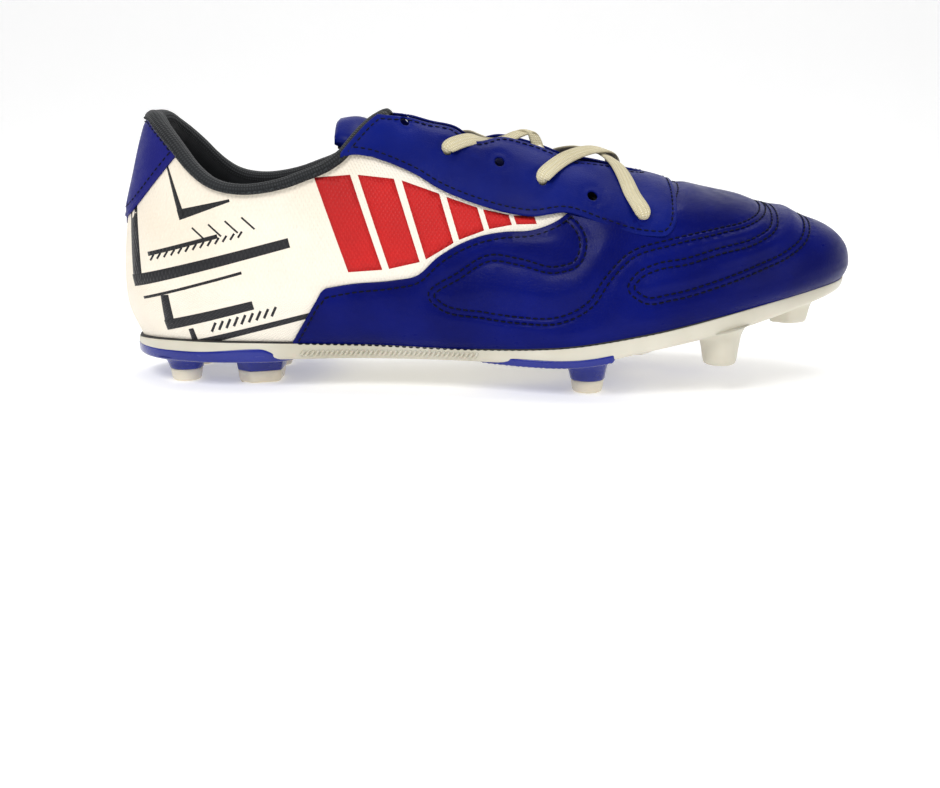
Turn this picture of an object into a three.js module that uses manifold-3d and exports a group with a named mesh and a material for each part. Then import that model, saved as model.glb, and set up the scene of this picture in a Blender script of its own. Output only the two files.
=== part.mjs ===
// A firm-ground soccer cleat for the right foot, in millimetres.
// +X points to the toe, +Y to the medial (inner) side and +Z up. It stands on its stud tips.
import * as THREE from 'three';
import { mergeVertices } from 'three/addons/utils/BufferGeometryUtils.js';
import Module from 'manifold-3d';

const wasm = await Module();
wasm.setup();

// ---------------------------------------------------------------- driving dimensions
const HEEL_X = -145.7;          // rearmost point of the heel
const TOE_X = 144.8;            // tip of the toe
const HEIGHT = 107.3;           // stud tips to the top of the heel collar
const SIDE_SHARE = 0.3;         // share of each side that lies below the widest point
const COLUMNS = 24;             // facets along the shoe
const ROWS = 6;                 // facets up each side
const GAP = 0.3;                // clearance between touching pieces
const SKIN = 1.0;               // thickness of one layer of upper material
const COLLAR_BULGE = 3.6;       // how far the collar foam pushes the lining inward
const COLLAR_BAND = 24;         // height of the padded band under the topline
const BINDING = 2.2;            // height of the rolled binding on the topline
const SOLE_PROUD = 1.2;         // how far the plate's edge stands out from the upper
const OVERLAY_DEPTH = 2.8;      // thickness of the blue overlays on the plate
const CAP_HEIGHT = 5;           // white tip of a stud
const STUD_HEIGHT = 14;         // longest stud, where it reaches the ground
const EYELET_RADIUS = 2.3;
const LACE_RADIUS = 1.3;
const MID_X = (HEEL_X + TOE_X) / 2;
const HALF_LENGTH = (TOE_X - HEEL_X) / 2;

// Offsets of the upper's layers from the reference surface, inner face then outer face.
const LAYER = {
  eyestay: [1.4, 1.4 + SKIN],
  outer: [0.1, 0.1 + SKIN],
  quarter: [-1.2, -0.2],
  stiffener: [-2.4, -1.5],
  lining: [-3.6, -2.7],
};

// ---------------------------------------------------------------- smooth profiles
// A cubic through a short list of [position, value] pairs.
function curve(points) {
  const t = points.map((p) => p[0]);
  const v = points.map((p) => p[1]);
  const last = t.length - 1;
  const chord = (i) => (v[i + 1] - v[i]) / (t[i + 1] - t[i]);
  const slope = t.map((_, i) => {
    if (i === 0) return chord(0);
    if (i === last) return chord(last - 1);
    const before = t[i] - t[i - 1];
    const after = t[i + 1] - t[i];
    return (chord(i - 1) * after + chord(i) * before) / (before + after);
  });
  return (x) => {
    let i = 0;
    while (i < last - 1 && x > t[i + 1]) i += 1;
    const h = t[i + 1] - t[i];
    const u = (x - t[i]) / h;
    const w = 1 - u;
    return (1 + 2 * u) * w * w * v[i] + u * w * w * h * slope[i]
      + u * u * (3 - 2 * u) * v[i + 1] + u * u * (u - 1) * h * slope[i + 1];
  };
}

// Stations along the shoe are angles, 0 at the heel and pi at the toe, so both ends close round.
function station(x) {
  return Math.acos(THREE.MathUtils.clamp((MID_X - x) / HALF_LENGTH, -1, 1));
}

function along(points) {
  return curve(points.map(([x, value]) => [station(x), value]));
}

const featherHeight = along([[HEEL_X, 15.4], [-121, 17.8], [-50, 17.3], [0, 16.7], [32, 18.7],
  [65, 23.9], [108, 33.7], [127, 37.6], [TOE_X, 40.5]]);
const soleHeight = along([[HEEL_X, 10.6], [-129, 10.9], [-73, 11.8], [6, 12.5], [45, 13.7],
  [65, 17.9], [99, 25.2], [128, 33], [TOE_X, 38]]);
const bulgeHeight = along([[HEEL_X, 42], [-100, 38], [-40, 33], [0, 31], [40, 31], [80, 38],
  [110, 43], [TOE_X, 46]]);
const ridgeHeight = along([[HEEL_X, 140], [-90, 133], [-60, 120], [-32, 106], [0, 98.3], [29, 91],
  [58, 81.5], [87, 74.2], [109, 69.8], [124, 65.8], [136, 59.9], [141.5, 55.4], [TOE_X, 47.5]]);
const centreLine = along([[HEEL_X, 4], [-100, 4], [-40, -1.5], [0, -3], [60, -1.5], [110, 0.5],
  [TOE_X, 2]]);
const featherLateral = along([[HEEL_X, 4], [-128, -21], [-110, -27.5], [-82, -29], [-45, -28],
  [-18, -31.5], [10, -39], [37, -46.2], [65, -46.8], [93, -42.5], [111, -35.5], [130, -23.5],
  [TOE_X, 2]]);
const featherMedial = along([[HEEL_X, 4], [-128, 25.5], [-110, 35], [-91, 35.3], [-55, 27],
  [-27, 22], [-8.6, 24], [19, 34.3], [46.7, 42.4], [74, 44.1], [102, 38], [120, 31.5], [138, 15],
  [TOE_X, 2]]);
const bulgeLateral = along([[HEEL_X, 4], [-128, -24], [-105, -31.5], [-70, -34], [-30, -36],
  [0, -40], [37, -47], [65, -47.8], [93, -44], [111, -37.2], [130, -25.5], [TOE_X, 2]]);
const bulgeMedial = along([[HEEL_X, 4], [-128, 28.5], [-105, 36.5], [-70, 35], [-30, 31.5],
  [0, 33], [46, 44], [74, 45.6], [102, 40.5], [120, 34], [138, 17], [TOE_X, 2]]);
const fullness = along([[HEEL_X, 0], [-40, 0], [10, -0.04], [60, 0.05], [100, 0.12], [TOE_X, 0.25]]);
const heelLean = curve([[10, 8], [15.5, 6.2], [28, 1], [42, 0], [56, 1], [65.5, 2.4], [81, 6.4],
  [93.5, 9.7], [104, 13], [140, 22]]);
const toeLean = curve([[30, -9], [35, -5.2], [39.3, -1.6], [45.5, 0], [50, -0.2], [60, -1]]);

// The topline of the ankle opening, as heights along the shoe, alike on both sides.
const toplineHeight = curve([[-150, 104.5], [-130, 104.5], [-125.7, 101.1], [-117.1, 92.5],
  [-112.8, 87.4], [-104.8, 80.8], [-95.8, 78.2], [-84.3, 78.7], [-68.2, 83.5], [-54.7, 90.8],
  [-49.1, 97.3], [-41.6, 104.2], [-34, 110]]);
const TOPLINE_FRONT = -38;

// ---------------------------------------------------------------- the reference surface
// s runs from -1 at the lateral feather line over 0 at the ridge to 1 at the medial feather line.
function surfacePoint(angle, s) {
  const side = s < 0 ? -1 : 1;
  const rise = 1 - Math.abs(s);
  const centre = centreLine(angle);
  const foot = side * ((side < 0 ? featherLateral : featherMedial)(angle) - centre);
  const wide = side * ((side < 0 ? bulgeLateral : bulgeMedial)(angle) - centre);
  const low = featherHeight(angle);
  const middle = bulgeHeight(angle);
  const round = fullness(angle);
  let half;
  let z;
  if (rise <= SIDE_SHARE) {
    const share = rise / SIDE_SHARE;
    half = wide - (wide - foot) * (1 - share) ** 2;
    z = low + (middle - low) * share;
  } else {
    const turn = (rise - SIDE_SHARE) / (1 - SIDE_SHARE) * Math.PI / 2;
    half = wide * Math.cos(turn) * (1 + round * Math.sin(turn) ** 2);
    z = middle + (ridgeHeight(angle) - middle) * Math.sin(turn) * (1 + round * Math.cos(turn) ** 2);
  }
  const heel = heelLean(z) * ((1 + Math.cos(angle)) / 2) ** 3;
  const toe = toeLean(z) * ((1 - Math.cos(angle)) / 2) ** 3;
  return new THREE.Vector3(MID_X - HALF_LENGTH * Math.cos(angle) + heel + toe, centre + side * half, z);
}

function surfaceNormal(angle, s) {
  const step = 1e-3;
  const end = angle < step || angle > Math.PI - step;
  const a = THREE.MathUtils.clamp(angle, 2 * step, Math.PI - 2 * step);
  const limited = THREE.MathUtils.clamp(Math.abs(s), 2 * step, 1 - 2 * step);
  const b = s < 0 || end ? -limited : limited;
  const lengthwise = surfacePoint(a + step, b).sub(surfacePoint(a - step, b));
  const across = surfacePoint(a, b + step).sub(surfacePoint(a, b - step));
  const normal = lengthwise.cross(across);
  if (end) normal.y = 0;
  return normal.normalize();
}

function offsetPoint(angle, s, distance) {
  return surfacePoint(angle, s).addScaledVector(surfaceNormal(angle, s), distance);
}

// Angle and s of the surface point that has the given x and z on one side.
function locate(x, z, side) {
  let angle = station(x);
  let s = side;
  for (let pass = 0; pass < 12; pass += 1) {
    let low = 0;
    let high = 1;
    for (let halving = 0; halving < 24; halving += 1) {
      const rise = (low + high) / 2;
      s = side * (1 - rise);
      if (surfacePoint(angle, s).z < z) low = rise;
      else high = rise;
    }
    const miss = x - surfacePoint(angle, s).x;
    angle += miss / Math.max(HALF_LENGTH * Math.sin(angle), 12);
  }
  return [angle, s];
}

// ---------------------------------------------------------------- solids
function solid(positions, triangles) {
  let geometry = new THREE.BufferGeometry();
  geometry.setAttribute('position', new THREE.Float32BufferAttribute(positions, 3));
  geometry.setIndex(triangles);
  return manifold(geometry);
}

function manifold(geometry) {
  const bare = geometry.clone();
  bare.deleteAttribute('normal');
  bare.deleteAttribute('uv');
  const merged = mergeVertices(bare, 1e-4);
  const index = merged.index.array;
  const triVerts = [];
  for (let i = 0; i < index.length; i += 3) {
    const [a, b, c] = [index[i], index[i + 1], index[i + 2]];
    if (a !== b && b !== c && c !== a) triVerts.push(a, b, c);
  }
  return new wasm.Manifold(new wasm.Mesh({
    numProp: 3,
    vertProperties: new Float32Array(merged.attributes.position.array),
    triVerts: new Uint32Array(triVerts),
  }));
}

function geometryOf(body) {
  const mesh = body.getMesh();
  const geometry = new THREE.BufferGeometry();
  geometry.setAttribute('position', new THREE.BufferAttribute(new Float32Array(mesh.vertProperties), 3));
  geometry.setIndex(new THREE.BufferAttribute(new Uint32Array(mesh.triVerts), 1));
  return geometry;
}

// A closed sheet between two grids of points; both grids are functions of column and row.
function sheet(columns, rows, outerPoint, innerPoint) {
  const positions = [];
  const count = (columns + 1) * (rows + 1);
  for (const point of [outerPoint, innerPoint]) {
    for (let i = 0; i <= columns; i += 1) {
      for (let j = 0; j <= rows; j += 1) positions.push(...point(i, j).toArray());
    }
  }
  const at = (i, j) => i * (rows + 1) + j;
  const triangles = [];
  const quad = (a, b, c, d) => triangles.push(a, b, c, a, c, d);
  for (let i = 0; i < columns; i += 1) {
    for (let j = 0; j < rows; j += 1) {
      const [a, b, c, d] = [at(i, j), at(i + 1, j), at(i + 1, j + 1), at(i, j + 1)];
      quad(a, b, c, d);
      triangles.push(a + count, c + count, b + count, a + count, d + count, c + count);
    }
    quad(at(i + 1, 0), at(i, 0), at(i, 0) + count, at(i + 1, 0) + count);
    quad(at(i, rows), at(i + 1, rows), at(i + 1, rows) + count, at(i, rows) + count);
  }
  const folded = outerPoint(0, 0).distanceTo(outerPoint(0, rows)) < 1e-3;
  if (!folded) {
    for (let j = 0; j < rows; j += 1) {
      quad(at(0, j), at(0, j + 1), at(0, j + 1) + count, at(0, j) + count);
      quad(at(columns, j + 1), at(columns, j), at(columns, j) + count, at(columns, j + 1) + count);
    }
  }
  return solid(positions, triangles);
}

// One layer of the upper, over the whole reference surface; offsets are numbers or functions.
function shell(inner, outer) {
  const value = (offset, angle, s) => (typeof offset === 'function' ? offset(angle, s) : offset);
  const point = (offset) => (i, j) => {
    const angle = Math.PI * i / COLUMNS;
    const s = j / ROWS - 1;
    return offsetPoint(angle, s, value(offset, angle, s));
  };
  return sheet(COLUMNS, 2 * ROWS, point(outer), point(inner));
}

function shapeOf(points) {
  return new THREE.Shape(points.map(([a, b]) => new THREE.Vector2(a, b)));
}

// A prism across the shoe, from an outline in side elevation.
function sidePrism(points, from = -90, to = 90) {
  const geometry = new THREE.ExtrudeGeometry(shapeOf(points), { depth: to - from, bevelEnabled: false });
  geometry.rotateX(Math.PI / 2);
  geometry.translate(0, to, 0);
  return manifold(geometry);
}

// A vertical prism, from an outline in plan.
function planPrism(points, from = -20, to = 150) {
  const geometry = new THREE.ExtrudeGeometry(shapeOf(points), { depth: to - from, bevelEnabled: false });
  geometry.translate(0, 0, from);
  return manifold(geometry);
}

function steps(from, to, count) {
  return Array.from({ length: count + 1 }, (_, i) => from + (to - from) * i / count);
}

function arc(x, y, radius, fromDegrees, toDegrees, count) {
  return steps(fromDegrees, toDegrees, count).map((degrees) => {
    const angle = THREE.MathUtils.degToRad(degrees);
    return [x + radius * Math.cos(angle), y + radius * Math.sin(angle)];
  });
}

// ---------------------------------------------------------------- outlines shared by the upper
function toplinePath(raise) {
  return steps(-130, TOPLINE_FRONT, 14).map((x) => [x, toplineHeight(x) + raise]);
}

// Everything under the topline, from the heel forward and over the throat.
function underTopline(raise) {
  return sidePrism([[-170, -10], [-170, HEIGHT - 2.8 + raise], ...toplinePath(raise),
    [-30, HEIGHT + raise], [0, 140], [170, 140], [170, -10]]);
}

const THROAT_FRONT = 58;
const THROAT_HALF = 11;

// The open slot over the tongue, rounded at its toe end.
function throatSlot(half) {
  const centre = centreLine(station(THROAT_FRONT - half));
  const rear = centreLine(station(-60));
  return planPrism([[-75, rear - half - 3], ...arc(THROAT_FRONT - half, centre, half, -90, 90, 6),
    [-75, rear + half + 3]], 60);
}

const EYELETS = [[-31.2, 101.1], [-14.4, 90.7], [5.5, 86.4], [21.8, 79.8], [40.4, 74.2], [59.1, 66.6]];
const SIDES = [-1, 1];

function eyeletPoint(row, side, distance) {
  const [angle, s] = locate(...EYELETS[row], side);
  return offsetPoint(angle, s, distance);
}

// Drills for the eyelet holes, along the surface's own normals.
function eyeletDrills() {
  return EYELETS.flatMap((_, row) => SIDES.map((side) => {
    const outside = eyeletPoint(row, side, 6);
    const inside = eyeletPoint(row, side, -8);
    const geometry = new THREE.CylinderGeometry(EYELET_RADIUS, EYELET_RADIUS, 14, 6);
    const turn = new THREE.Quaternion().setFromUnitVectors(new THREE.Vector3(0, 1, 0),
      outside.clone().sub(inside).normalize());
    geometry.applyQuaternion(turn);
    geometry.translate(...outside.add(inside).multiplyScalar(0.5).toArray());
    return manifold(geometry);
  })).reduce((all, drill) => all.add(drill));
}

const opening = underTopline(0);
const slot = throatSlot(THROAT_HALF);
const drills = eyeletDrills();

// ---------------------------------------------------------------- upper
function vamp() {
  const outline = [[-74, 5], [-73.8, 17.3], [-60.6, 40.6], [-51.4, 42.2], [-26, 45.5], [-9.4, 57.6],
    [7.2, 62.2], [18, 62.8], [27, 66], [32, 78], [36, 110], [170, 110], [170, 5]];
  return shell(...LAYER.outer).intersect(sidePrism(outline)).subtract(slot).subtract(drills);
}

function quarter(side) {
  const outline = [[-170, 5], [-170, 130], [44, 130], [40, 62], [22, 5]];
  const seam = centreLine(0);
  const half = side < 0 ? sidePrism(outline, -90, seam - GAP / 2) : sidePrism(outline, seam + GAP / 2, 90);
  const both = shell(...LAYER.quarter).intersect(opening).subtract(slot).subtract(drills);
  return both.intersect(half);
}

function eyestay() {
  const outline = [[-54.9, 88.8], [-49.3, 96.3], [-41.8, 103.7], [-37, 130], [73.5, 130], [73.1, 76],
    [71.8, 64.5], [67, 60.5], [61.7, 60.6], [43.1, 65.1], [30.9, 68.8], [18, 67.5], [8, 68.8],
    [-1.1, 71.2], [-17.8, 77.6], [-34.5, 86.1], [-42.9, 89.1], [-51.1, 89.9]];
  return shell(...LAYER.eyestay).intersect(sidePrism(outline)).intersect(opening)
    .subtract(slot).subtract(drills);
}

function eyeletFacing(side) {
  const outline = [[-46, 97], [-42, 103.2], [-38, 130], [47, 130], [45, 66], [30, 70], [5.5, 78],
    [-14.4, 82], [-31, 92]];
  const split = centreLine(station(0));
  const half = side < 0 ? sidePrism(outline, -90, split) : sidePrism(outline, split, 90);
  return shell(...LAYER.stiffener).intersect(half).intersect(opening).subtract(slot).subtract(drills);
}

function heelTab() {
  const outline = [[-170, 66.5], [-139.6, 66.5], [-116.4, 91.5], [-116.4, 130], [-170, 130]];
  return shell(...LAYER.outer).intersect(sidePrism(outline)).intersect(opening);
}

function heelCounter() {
  const outline = [[-170, 19], [-170, 70], [-136, 66], [-104, 44], [-76, 19]];
  return shell(...LAYER.stiffener).intersect(sidePrism(outline));
}

function toePuff() {
  const outline = [[104, 20], [108, 72], [170, 90], [170, 20]];
  return shell(...LAYER.stiffener).intersect(sidePrism(outline));
}

// How far the lining stands in from the reference surface: further behind the collar foam.
function liningDepth(angle, s) {
  const point = surfacePoint(angle, s);
  const below = toplineHeight(Math.max(point.x, -130)) - point.z;
  const up = THREE.MathUtils.smoothstep(COLLAR_BAND - below, 0, COLLAR_BAND / 2);
  const back = THREE.MathUtils.smoothstep(-point.x, 40, 62);
  return -LAYER.lining[1] + COLLAR_BULGE * up * back;
}

function collarFoam() {
  const raise = -COLLAR_BAND + 4;
  const outline = [[-170, HEIGHT - 2.8 + raise], ...toplinePath(raise).filter(([x]) => x < -58),
    [-57, 60], [-57, 140], [-170, 140]];
  const body = shell((angle, s) => GAP - liningDepth(angle, s), LAYER.stiffener[1]);
  return body.intersect(sidePrism(outline)).intersect(underTopline(-GAP));
}

function collarBinding() {
  const raised = underTopline(BINDING).subtract(underTopline(GAP));
  const rear = sidePrism([[-170, 60], [-170, 130], [-43, 130], [-43, 60]]);
  return shell(-2.9 - COLLAR_BULGE, 1.3).intersect(raised).intersect(rear);
}

function liningShell() {
  return shell((angle, s) => -liningDepth(angle, s) - 0.9, (angle, s) => -liningDepth(angle, s));
}

function quarterLining() {
  return liningShell().intersect(sidePrism([[-170, 5], [-170, 130], [47.7, 130], [47.7, 5]]))
    .intersect(opening).subtract(slot).subtract(drills);
}

function vampLining() {
  return liningShell().intersect(sidePrism([[48, 5], [48, 130], [170, 130], [170, 5]]))
    .subtract(slot).subtract(drills);
}

// ---------------------------------------------------------------- tongue
const TONGUE_REAR = -58;
const TONGUE_FRONT = 66;
const tongueTop = curve([[-58, 101], [-50, 101.5], [-38, 98.5], [-20, 93.4], [0, 89.6], [20, 84.7],
  [40, 78.7], [66, 70.2]]);
const tongueHalf = curve([[-58, 17], [-30, 17], [0, 19], [30, 19], [66, 16]]);
const tongueFlat = curve([[-58, 38], [-40, 35], [0, 27], [66, 36]]);

function tonguePoint(x, across, depth) {
  const y = across * tongueHalf(x);
  const base = bulgeHeight(station(x));
  const arch = Math.sqrt(1 - (y / tongueFlat(x)) ** 2);
  return new THREE.Vector3(x, centreLine(station(x)) + y, base + (tongueTop(x) - base) * arch - depth);
}

function tongueLayer(from, to) {
  const columns = 11;
  const rows = 4;
  const point = (depth) => (i, j) => tonguePoint(
    THREE.MathUtils.lerp(TONGUE_REAR, TONGUE_FRONT, i / columns), 2 * j / rows - 1, depth);
  return sheet(columns, rows, point(from), point(to));
}

// ---------------------------------------------------------------- lace
const LACE_OVER = 4.5;
const LACE_UNDER = -6.3;
const LACE_SAG = -2;            // how far a taut strand cuts below the arch over the throat
const LACE_CROSSING = 3.1;      // height of one strand over the other where they cross
const THROUGH = [3.8, 1, -2.2, -5.4];

function eyeletPlace(row, side) {
  return locate(...EYELETS[row], side);
}

// Points of a strand over or under the upper, between two places, without its ends.
function strand(from, to, distance, lift = 0) {
  return steps(0.14, 0.86, 6).map((share) => offsetPoint(
    THREE.MathUtils.lerp(from[0], to[0], share),
    THREE.MathUtils.lerp(from[1], to[1], share),
    distance + lift * Math.sin(share * Math.PI) ** 6));
}

// From the bar under the last eyelets: out, across to the fourth row, in, out at the second, across.
function laceHalf(side, lift) {
  const down = (row, at) => THROUGH.map((distance) => eyeletPoint(row, at, distance));
  const up = (row, at) => down(row, at).reverse();
  const end = [station(20), side * 0.05];
  return [
    ...up(5, side),
    ...strand(eyeletPlace(5, side), eyeletPlace(3, -side), LACE_OVER, lift),
    ...down(3, -side),
    ...strand(eyeletPlace(3, -side), eyeletPlace(1, -side), LACE_UNDER),
    ...up(1, -side),
    ...strand(eyeletPlace(1, -side), end, LACE_OVER, lift),
    offsetPoint(...end, LACE_OVER),
  ];
}

function laceRoute() {
  const bar = strand(eyeletPlace(5, -1), eyeletPlace(5, 1), LACE_UNDER);
  return [...laceHalf(-1, LACE_SAG).reverse(), ...bar, ...laceHalf(1, LACE_SAG + LACE_CROSSING)];
}

function lace(route) {
  const path = new THREE.CatmullRomCurve3(route, false, 'centripetal');
  const section = shapeOf(arc(0, 0, LACE_RADIUS, 0, 300, 5));
  return manifold(new THREE.ExtrudeGeometry(section, { steps: 96, extrudePath: path, bevelEnabled: false }));
}

// A small sleeve that continues the lace beyond its end.
function aglet(end, before) {
  const forward = end.clone().sub(before).normalize();
  const geometry = new THREE.CylinderGeometry(LACE_RADIUS, LACE_RADIUS, 11, 8);
  geometry.applyQuaternion(new THREE.Quaternion().setFromUnitVectors(new THREE.Vector3(0, 1, 0), forward));
  geometry.translate(...end.clone().addScaledVector(forward, 11 / 2 + GAP).toArray());
  return manifold(geometry);
}

// ---------------------------------------------------------------- boards and sole
// A point of the feather outline in plan, moved inward by inset.
function planPoint(angle, side, inset) {
  const step = 0.01;
  const point = (a) => surfacePoint(a, side);
  const here = point(angle);
  if (angle < step) return [here.x + inset, here.y];
  if (angle > Math.PI - step) return [here.x - inset, here.y];
  const run = point(angle + step).sub(point(angle - step)).setZ(0).normalize();
  return [here.x + side * run.y * inset, here.y - side * run.x * inset];
}

// Station whose feather line reaches x, so that sole heights follow the leaning heel and toe.
function footStation(x) {
  let angle = station(x);
  for (let pass = 0; pass < 8; pass += 1) {
    const miss = x - surfacePoint(angle, 1).x;
    const nudge = miss / Math.max(HALF_LENGTH * Math.sin(angle), 20);
    angle = THREE.MathUtils.clamp(angle + nudge, 0, Math.PI);
  }
  return angle;
}

// A body with the sole's outline and the given heights; it follows the shoe's toe spring.
function deck(inset, low, high) {
  const rows = 4;
  const point = (height) => (i, j) => {
    const angle = Math.PI * i / COLUMNS;
    const [xl, yl] = planPoint(angle, -1, inset);
    const [xm, ym] = planPoint(angle, 1, inset);
    const x = THREE.MathUtils.lerp(xl, xm, j / rows);
    return new THREE.Vector3(x, THREE.MathUtils.lerp(yl, ym, j / rows), height(footStation(x)));
  };
  return sheet(COLUMNS, rows, point(high), point(low));
}

const plateBottom = (angle) => soleHeight(angle);
const plateTop = (angle) => featherHeight(angle) - 1;

// An outline enlarged by a clearance, corner by corner.
function grown(points, distance) {
  const count = points.length;
  return points.map(([x, y], i) => {
    const [px, py] = points[(i + count - 1) % count];
    const [nx, ny] = points[(i + 1) % count];
    const tangent = new THREE.Vector2(nx - px, ny - py).normalize();
    return [x + tangent.y * distance, y - tangent.x * distance];
  });
}

const RING_CENTRE = [-107, 5];
const RING_RADIUS = 45;
const ringOutline = (spare) => [[-170, -60], ...arc(...RING_CENTRE, RING_RADIUS + spare, -76, 76, 12),
  [-170, 60]];

// A five-armed window in the heel ring.
const windowOutline = [[-129, 6.5], [-121, 3.5], [-114.5, -4.5], [-106.8, -3], [-101, -6], [-92, -1.5],
  [-93, 4], [-89, 10], [-94, 15], [-102, 11.5], [-108, 15], [-118, 9], [-128, 9]];

// The Y-shaped overlay: two blades at the waist joined into one arm that points to the toe.
const forkOutline = [[-4.7, -31], [0.6, -37], [9.8, -42], [19, -46], [28.3, -49], [48.5, -51], [50.5, -43],
  [49, -33], [55.9, -22], [65, -15], [76, -9.5], [92.7, -4.5], [111, -1], [119, 2], [119, 5],
  [111, 8], [92.7, 10.5], [76, 13], [65, 16.5], [55.9, 25], [50, 32], [49.5, 41], [47, 49],
  [28.3, 44], [19, 40], [9.8, 35], [2.5, 27], [6, 18], [28.3, 20.5], [37.5, 17], [42.5, 12.5],
  [47.4, 2.5], [42.5, -6.5], [37.5, -10.5], [30.9, -19], [24, -23], [9.8, -24], [-2, -24.5]];

// Chevron outline that points to +X.
function chevron(length, width, bar) {
  return [[-length / 2, -width / 2], [-length / 2 + bar, -width / 2], [length / 2, 0],
    [-length / 2 + bar, width / 2], [-length / 2, width / 2], [length / 2 - bar * 1.3, 0]];
}

// A frustum over any outline: full size at height top, smaller by draft at height bottom.
function taperedStud(outline, x, y, turnDegrees, top, bottom, topScale, bottomScale) {
  const turn = THREE.MathUtils.degToRad(turnDegrees);
  const count = outline.length;
  const ring = (scale, z) => outline.flatMap(([a, b]) => [
    x + scale * (a * Math.cos(turn) - b * Math.sin(turn)),
    y + scale * (a * Math.sin(turn) + b * Math.cos(turn)), z]);
  const faces = THREE.ShapeUtils.triangulateShape(outline.map(([a, b]) => new THREE.Vector2(a, b)), []);
  const triangles = faces.flatMap(([a, b, c]) => [a, c, b, a + count, b + count, c + count]);
  for (let i = 0; i < count; i += 1) {
    const next = (i + 1) % count;
    triangles.push(i, next, next + count, i, next + count, i + count);
  }
  return solid([...ring(bottomScale, bottom), ...ring(topScale, top)], triangles);
}

const circle = (radius) => arc(0, 0, radius, 0, 330, 11);
const CHEVRON = chevron(15, 20, 8);

// Studs with a moulded base and a separate white tip: outline, place and turn.
const TIPPED_STUDS = {
  heel_stud_tip_lateral: { outline: circle(6.3), x: -120, y: -11.5, turn: 0, carrier: 'ring' },
  heel_stud_tip_medial: { outline: circle(6.3), x: -120, y: 19.5, turn: 0, carrier: 'ring' },
  heel_chevron_tip_lateral: { outline: CHEVRON, x: -87, y: -13.5, turn: -38, carrier: 'ring' },
  heel_chevron_tip_medial: { outline: CHEVRON, x: -87, y: 21.5, turn: 38, carrier: 'ring' },
  midfoot_stud_tip_lateral: { outline: circle(6.3), x: 40, y: -33, turn: 0, carrier: 'fork' },
  midfoot_stud_tip_medial: { outline: circle(6.3), x: 40, y: 26.5, turn: 0, carrier: 'fork' },
  centre_chevron_tip: { outline: CHEVRON, x: 64, y: -1, turn: 0, height: 8.5, carrier: 'fork' },
};

// White studs moulded in one with the plate.
const PLATE_STUDS = [
  { outline: circle(7), x: 91, y: -33.5, turn: 0, height: 12.5 },
  { outline: circle(7), x: 91, y: 31, turn: 0, height: 12.5 },
  { outline: chevron(13, 14, 9), x: 122, y: -15.5, turn: -35, height: 7 },
  { outline: chevron(13, 14, 9), x: 117, y: 21.5, turn: 35, height: 7 },
];

// The plate rises to the toe, so a stud is seated at the height under its rear edge.
function studSeat(stud) {
  return plateBottom(station(stud.x - 9));
}

function studTip(stud) {
  return Math.max(0, plateBottom(station(stud.x)) - (stud.height ?? STUD_HEIGHT));
}

function tippedBase(stud) {
  const { outline, x, y, turn } = stud;
  return taperedStud(outline, x, y, turn, studSeat(stud) + 1, studTip(stud) + CAP_HEIGHT + GAP, 1.3, 1.1);
}

function tippedCap(stud) {
  const { outline, x, y, turn } = stud;
  return taperedStud(outline, x, y, turn, studTip(stud) + CAP_HEIGHT, studTip(stud), 1.0, 0.86);
}

function carriedBases(carrier) {
  return Object.values(TIPPED_STUDS).filter((stud) => stud.carrier === carrier)
    .map(tippedBase).reduce((all, base) => all.add(base));
}

function overlayBody(outline, carrier, proud) {
  const height = (extra) => (angle) => plateBottom(angle) + extra;
  return deck(-SOLE_PROUD, height(-proud), height(OVERLAY_DEPTH - proud)).intersect(planPrism(outline))
    .add(carriedBases(carrier));
}

function overlayRecess(outline, proud) {
  return deck(-SOLE_PROUD - 5, () => -10, (angle) => plateBottom(angle) + OVERLAY_DEPTH - proud + GAP)
    .intersect(planPrism(outline));
}

const RING_PROUD = 0;
const FORK_PROUD = 1;

function heelStabiliser() {
  return overlayBody(ringOutline(0), 'ring', RING_PROUD).subtract(planPrism(windowOutline));
}

function forefootFork() {
  return overlayBody(forkOutline, 'fork', FORK_PROUD);
}

function outsolePlate() {
  const studs = PLATE_STUDS.map((stud) => taperedStud(stud.outline, stud.x, stud.y, stud.turn,
    studSeat(stud) + 1.5, studTip(stud), 1.25, 0.85)).reduce((all, stud) => all.add(stud));
  return deck(-SOLE_PROUD, plateBottom, plateTop).add(studs)
    .subtract(overlayRecess(ringOutline(GAP), RING_PROUD))
    .subtract(overlayRecess(grown(forkOutline, GAP), FORK_PROUD));
}

const BOARD_INSET = 5;
const BOARD_BOTTOM = -0.4;
const BOARD_TOP = 1;
const SOCKLINER_TOP = 4.6;

function lifted(extra) {
  return (angle) => featherHeight(angle) + extra;
}

// ---------------------------------------------------------------- assembly
const shoe = new THREE.Group();

function piece(name, body, color, roughness, metalness = 0) {
  const material = new THREE.MeshStandardMaterial({ color, roughness, metalness });
  const mesh = new THREE.Mesh(geometryOf(body), material);
  mesh.name = name;
  shoe.add(mesh);
}

const BLUE = 0x14206b;
const WHITE = 0xf5efdf;
const SOLE_WHITE = 0xdcd8cc;
const SOLE_BLUE = 0x0a1c78;
const BLACK = 0x14171b;
const CREAM = 0xeae0b4;
const BOARD = 0xb8a88a;

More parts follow.
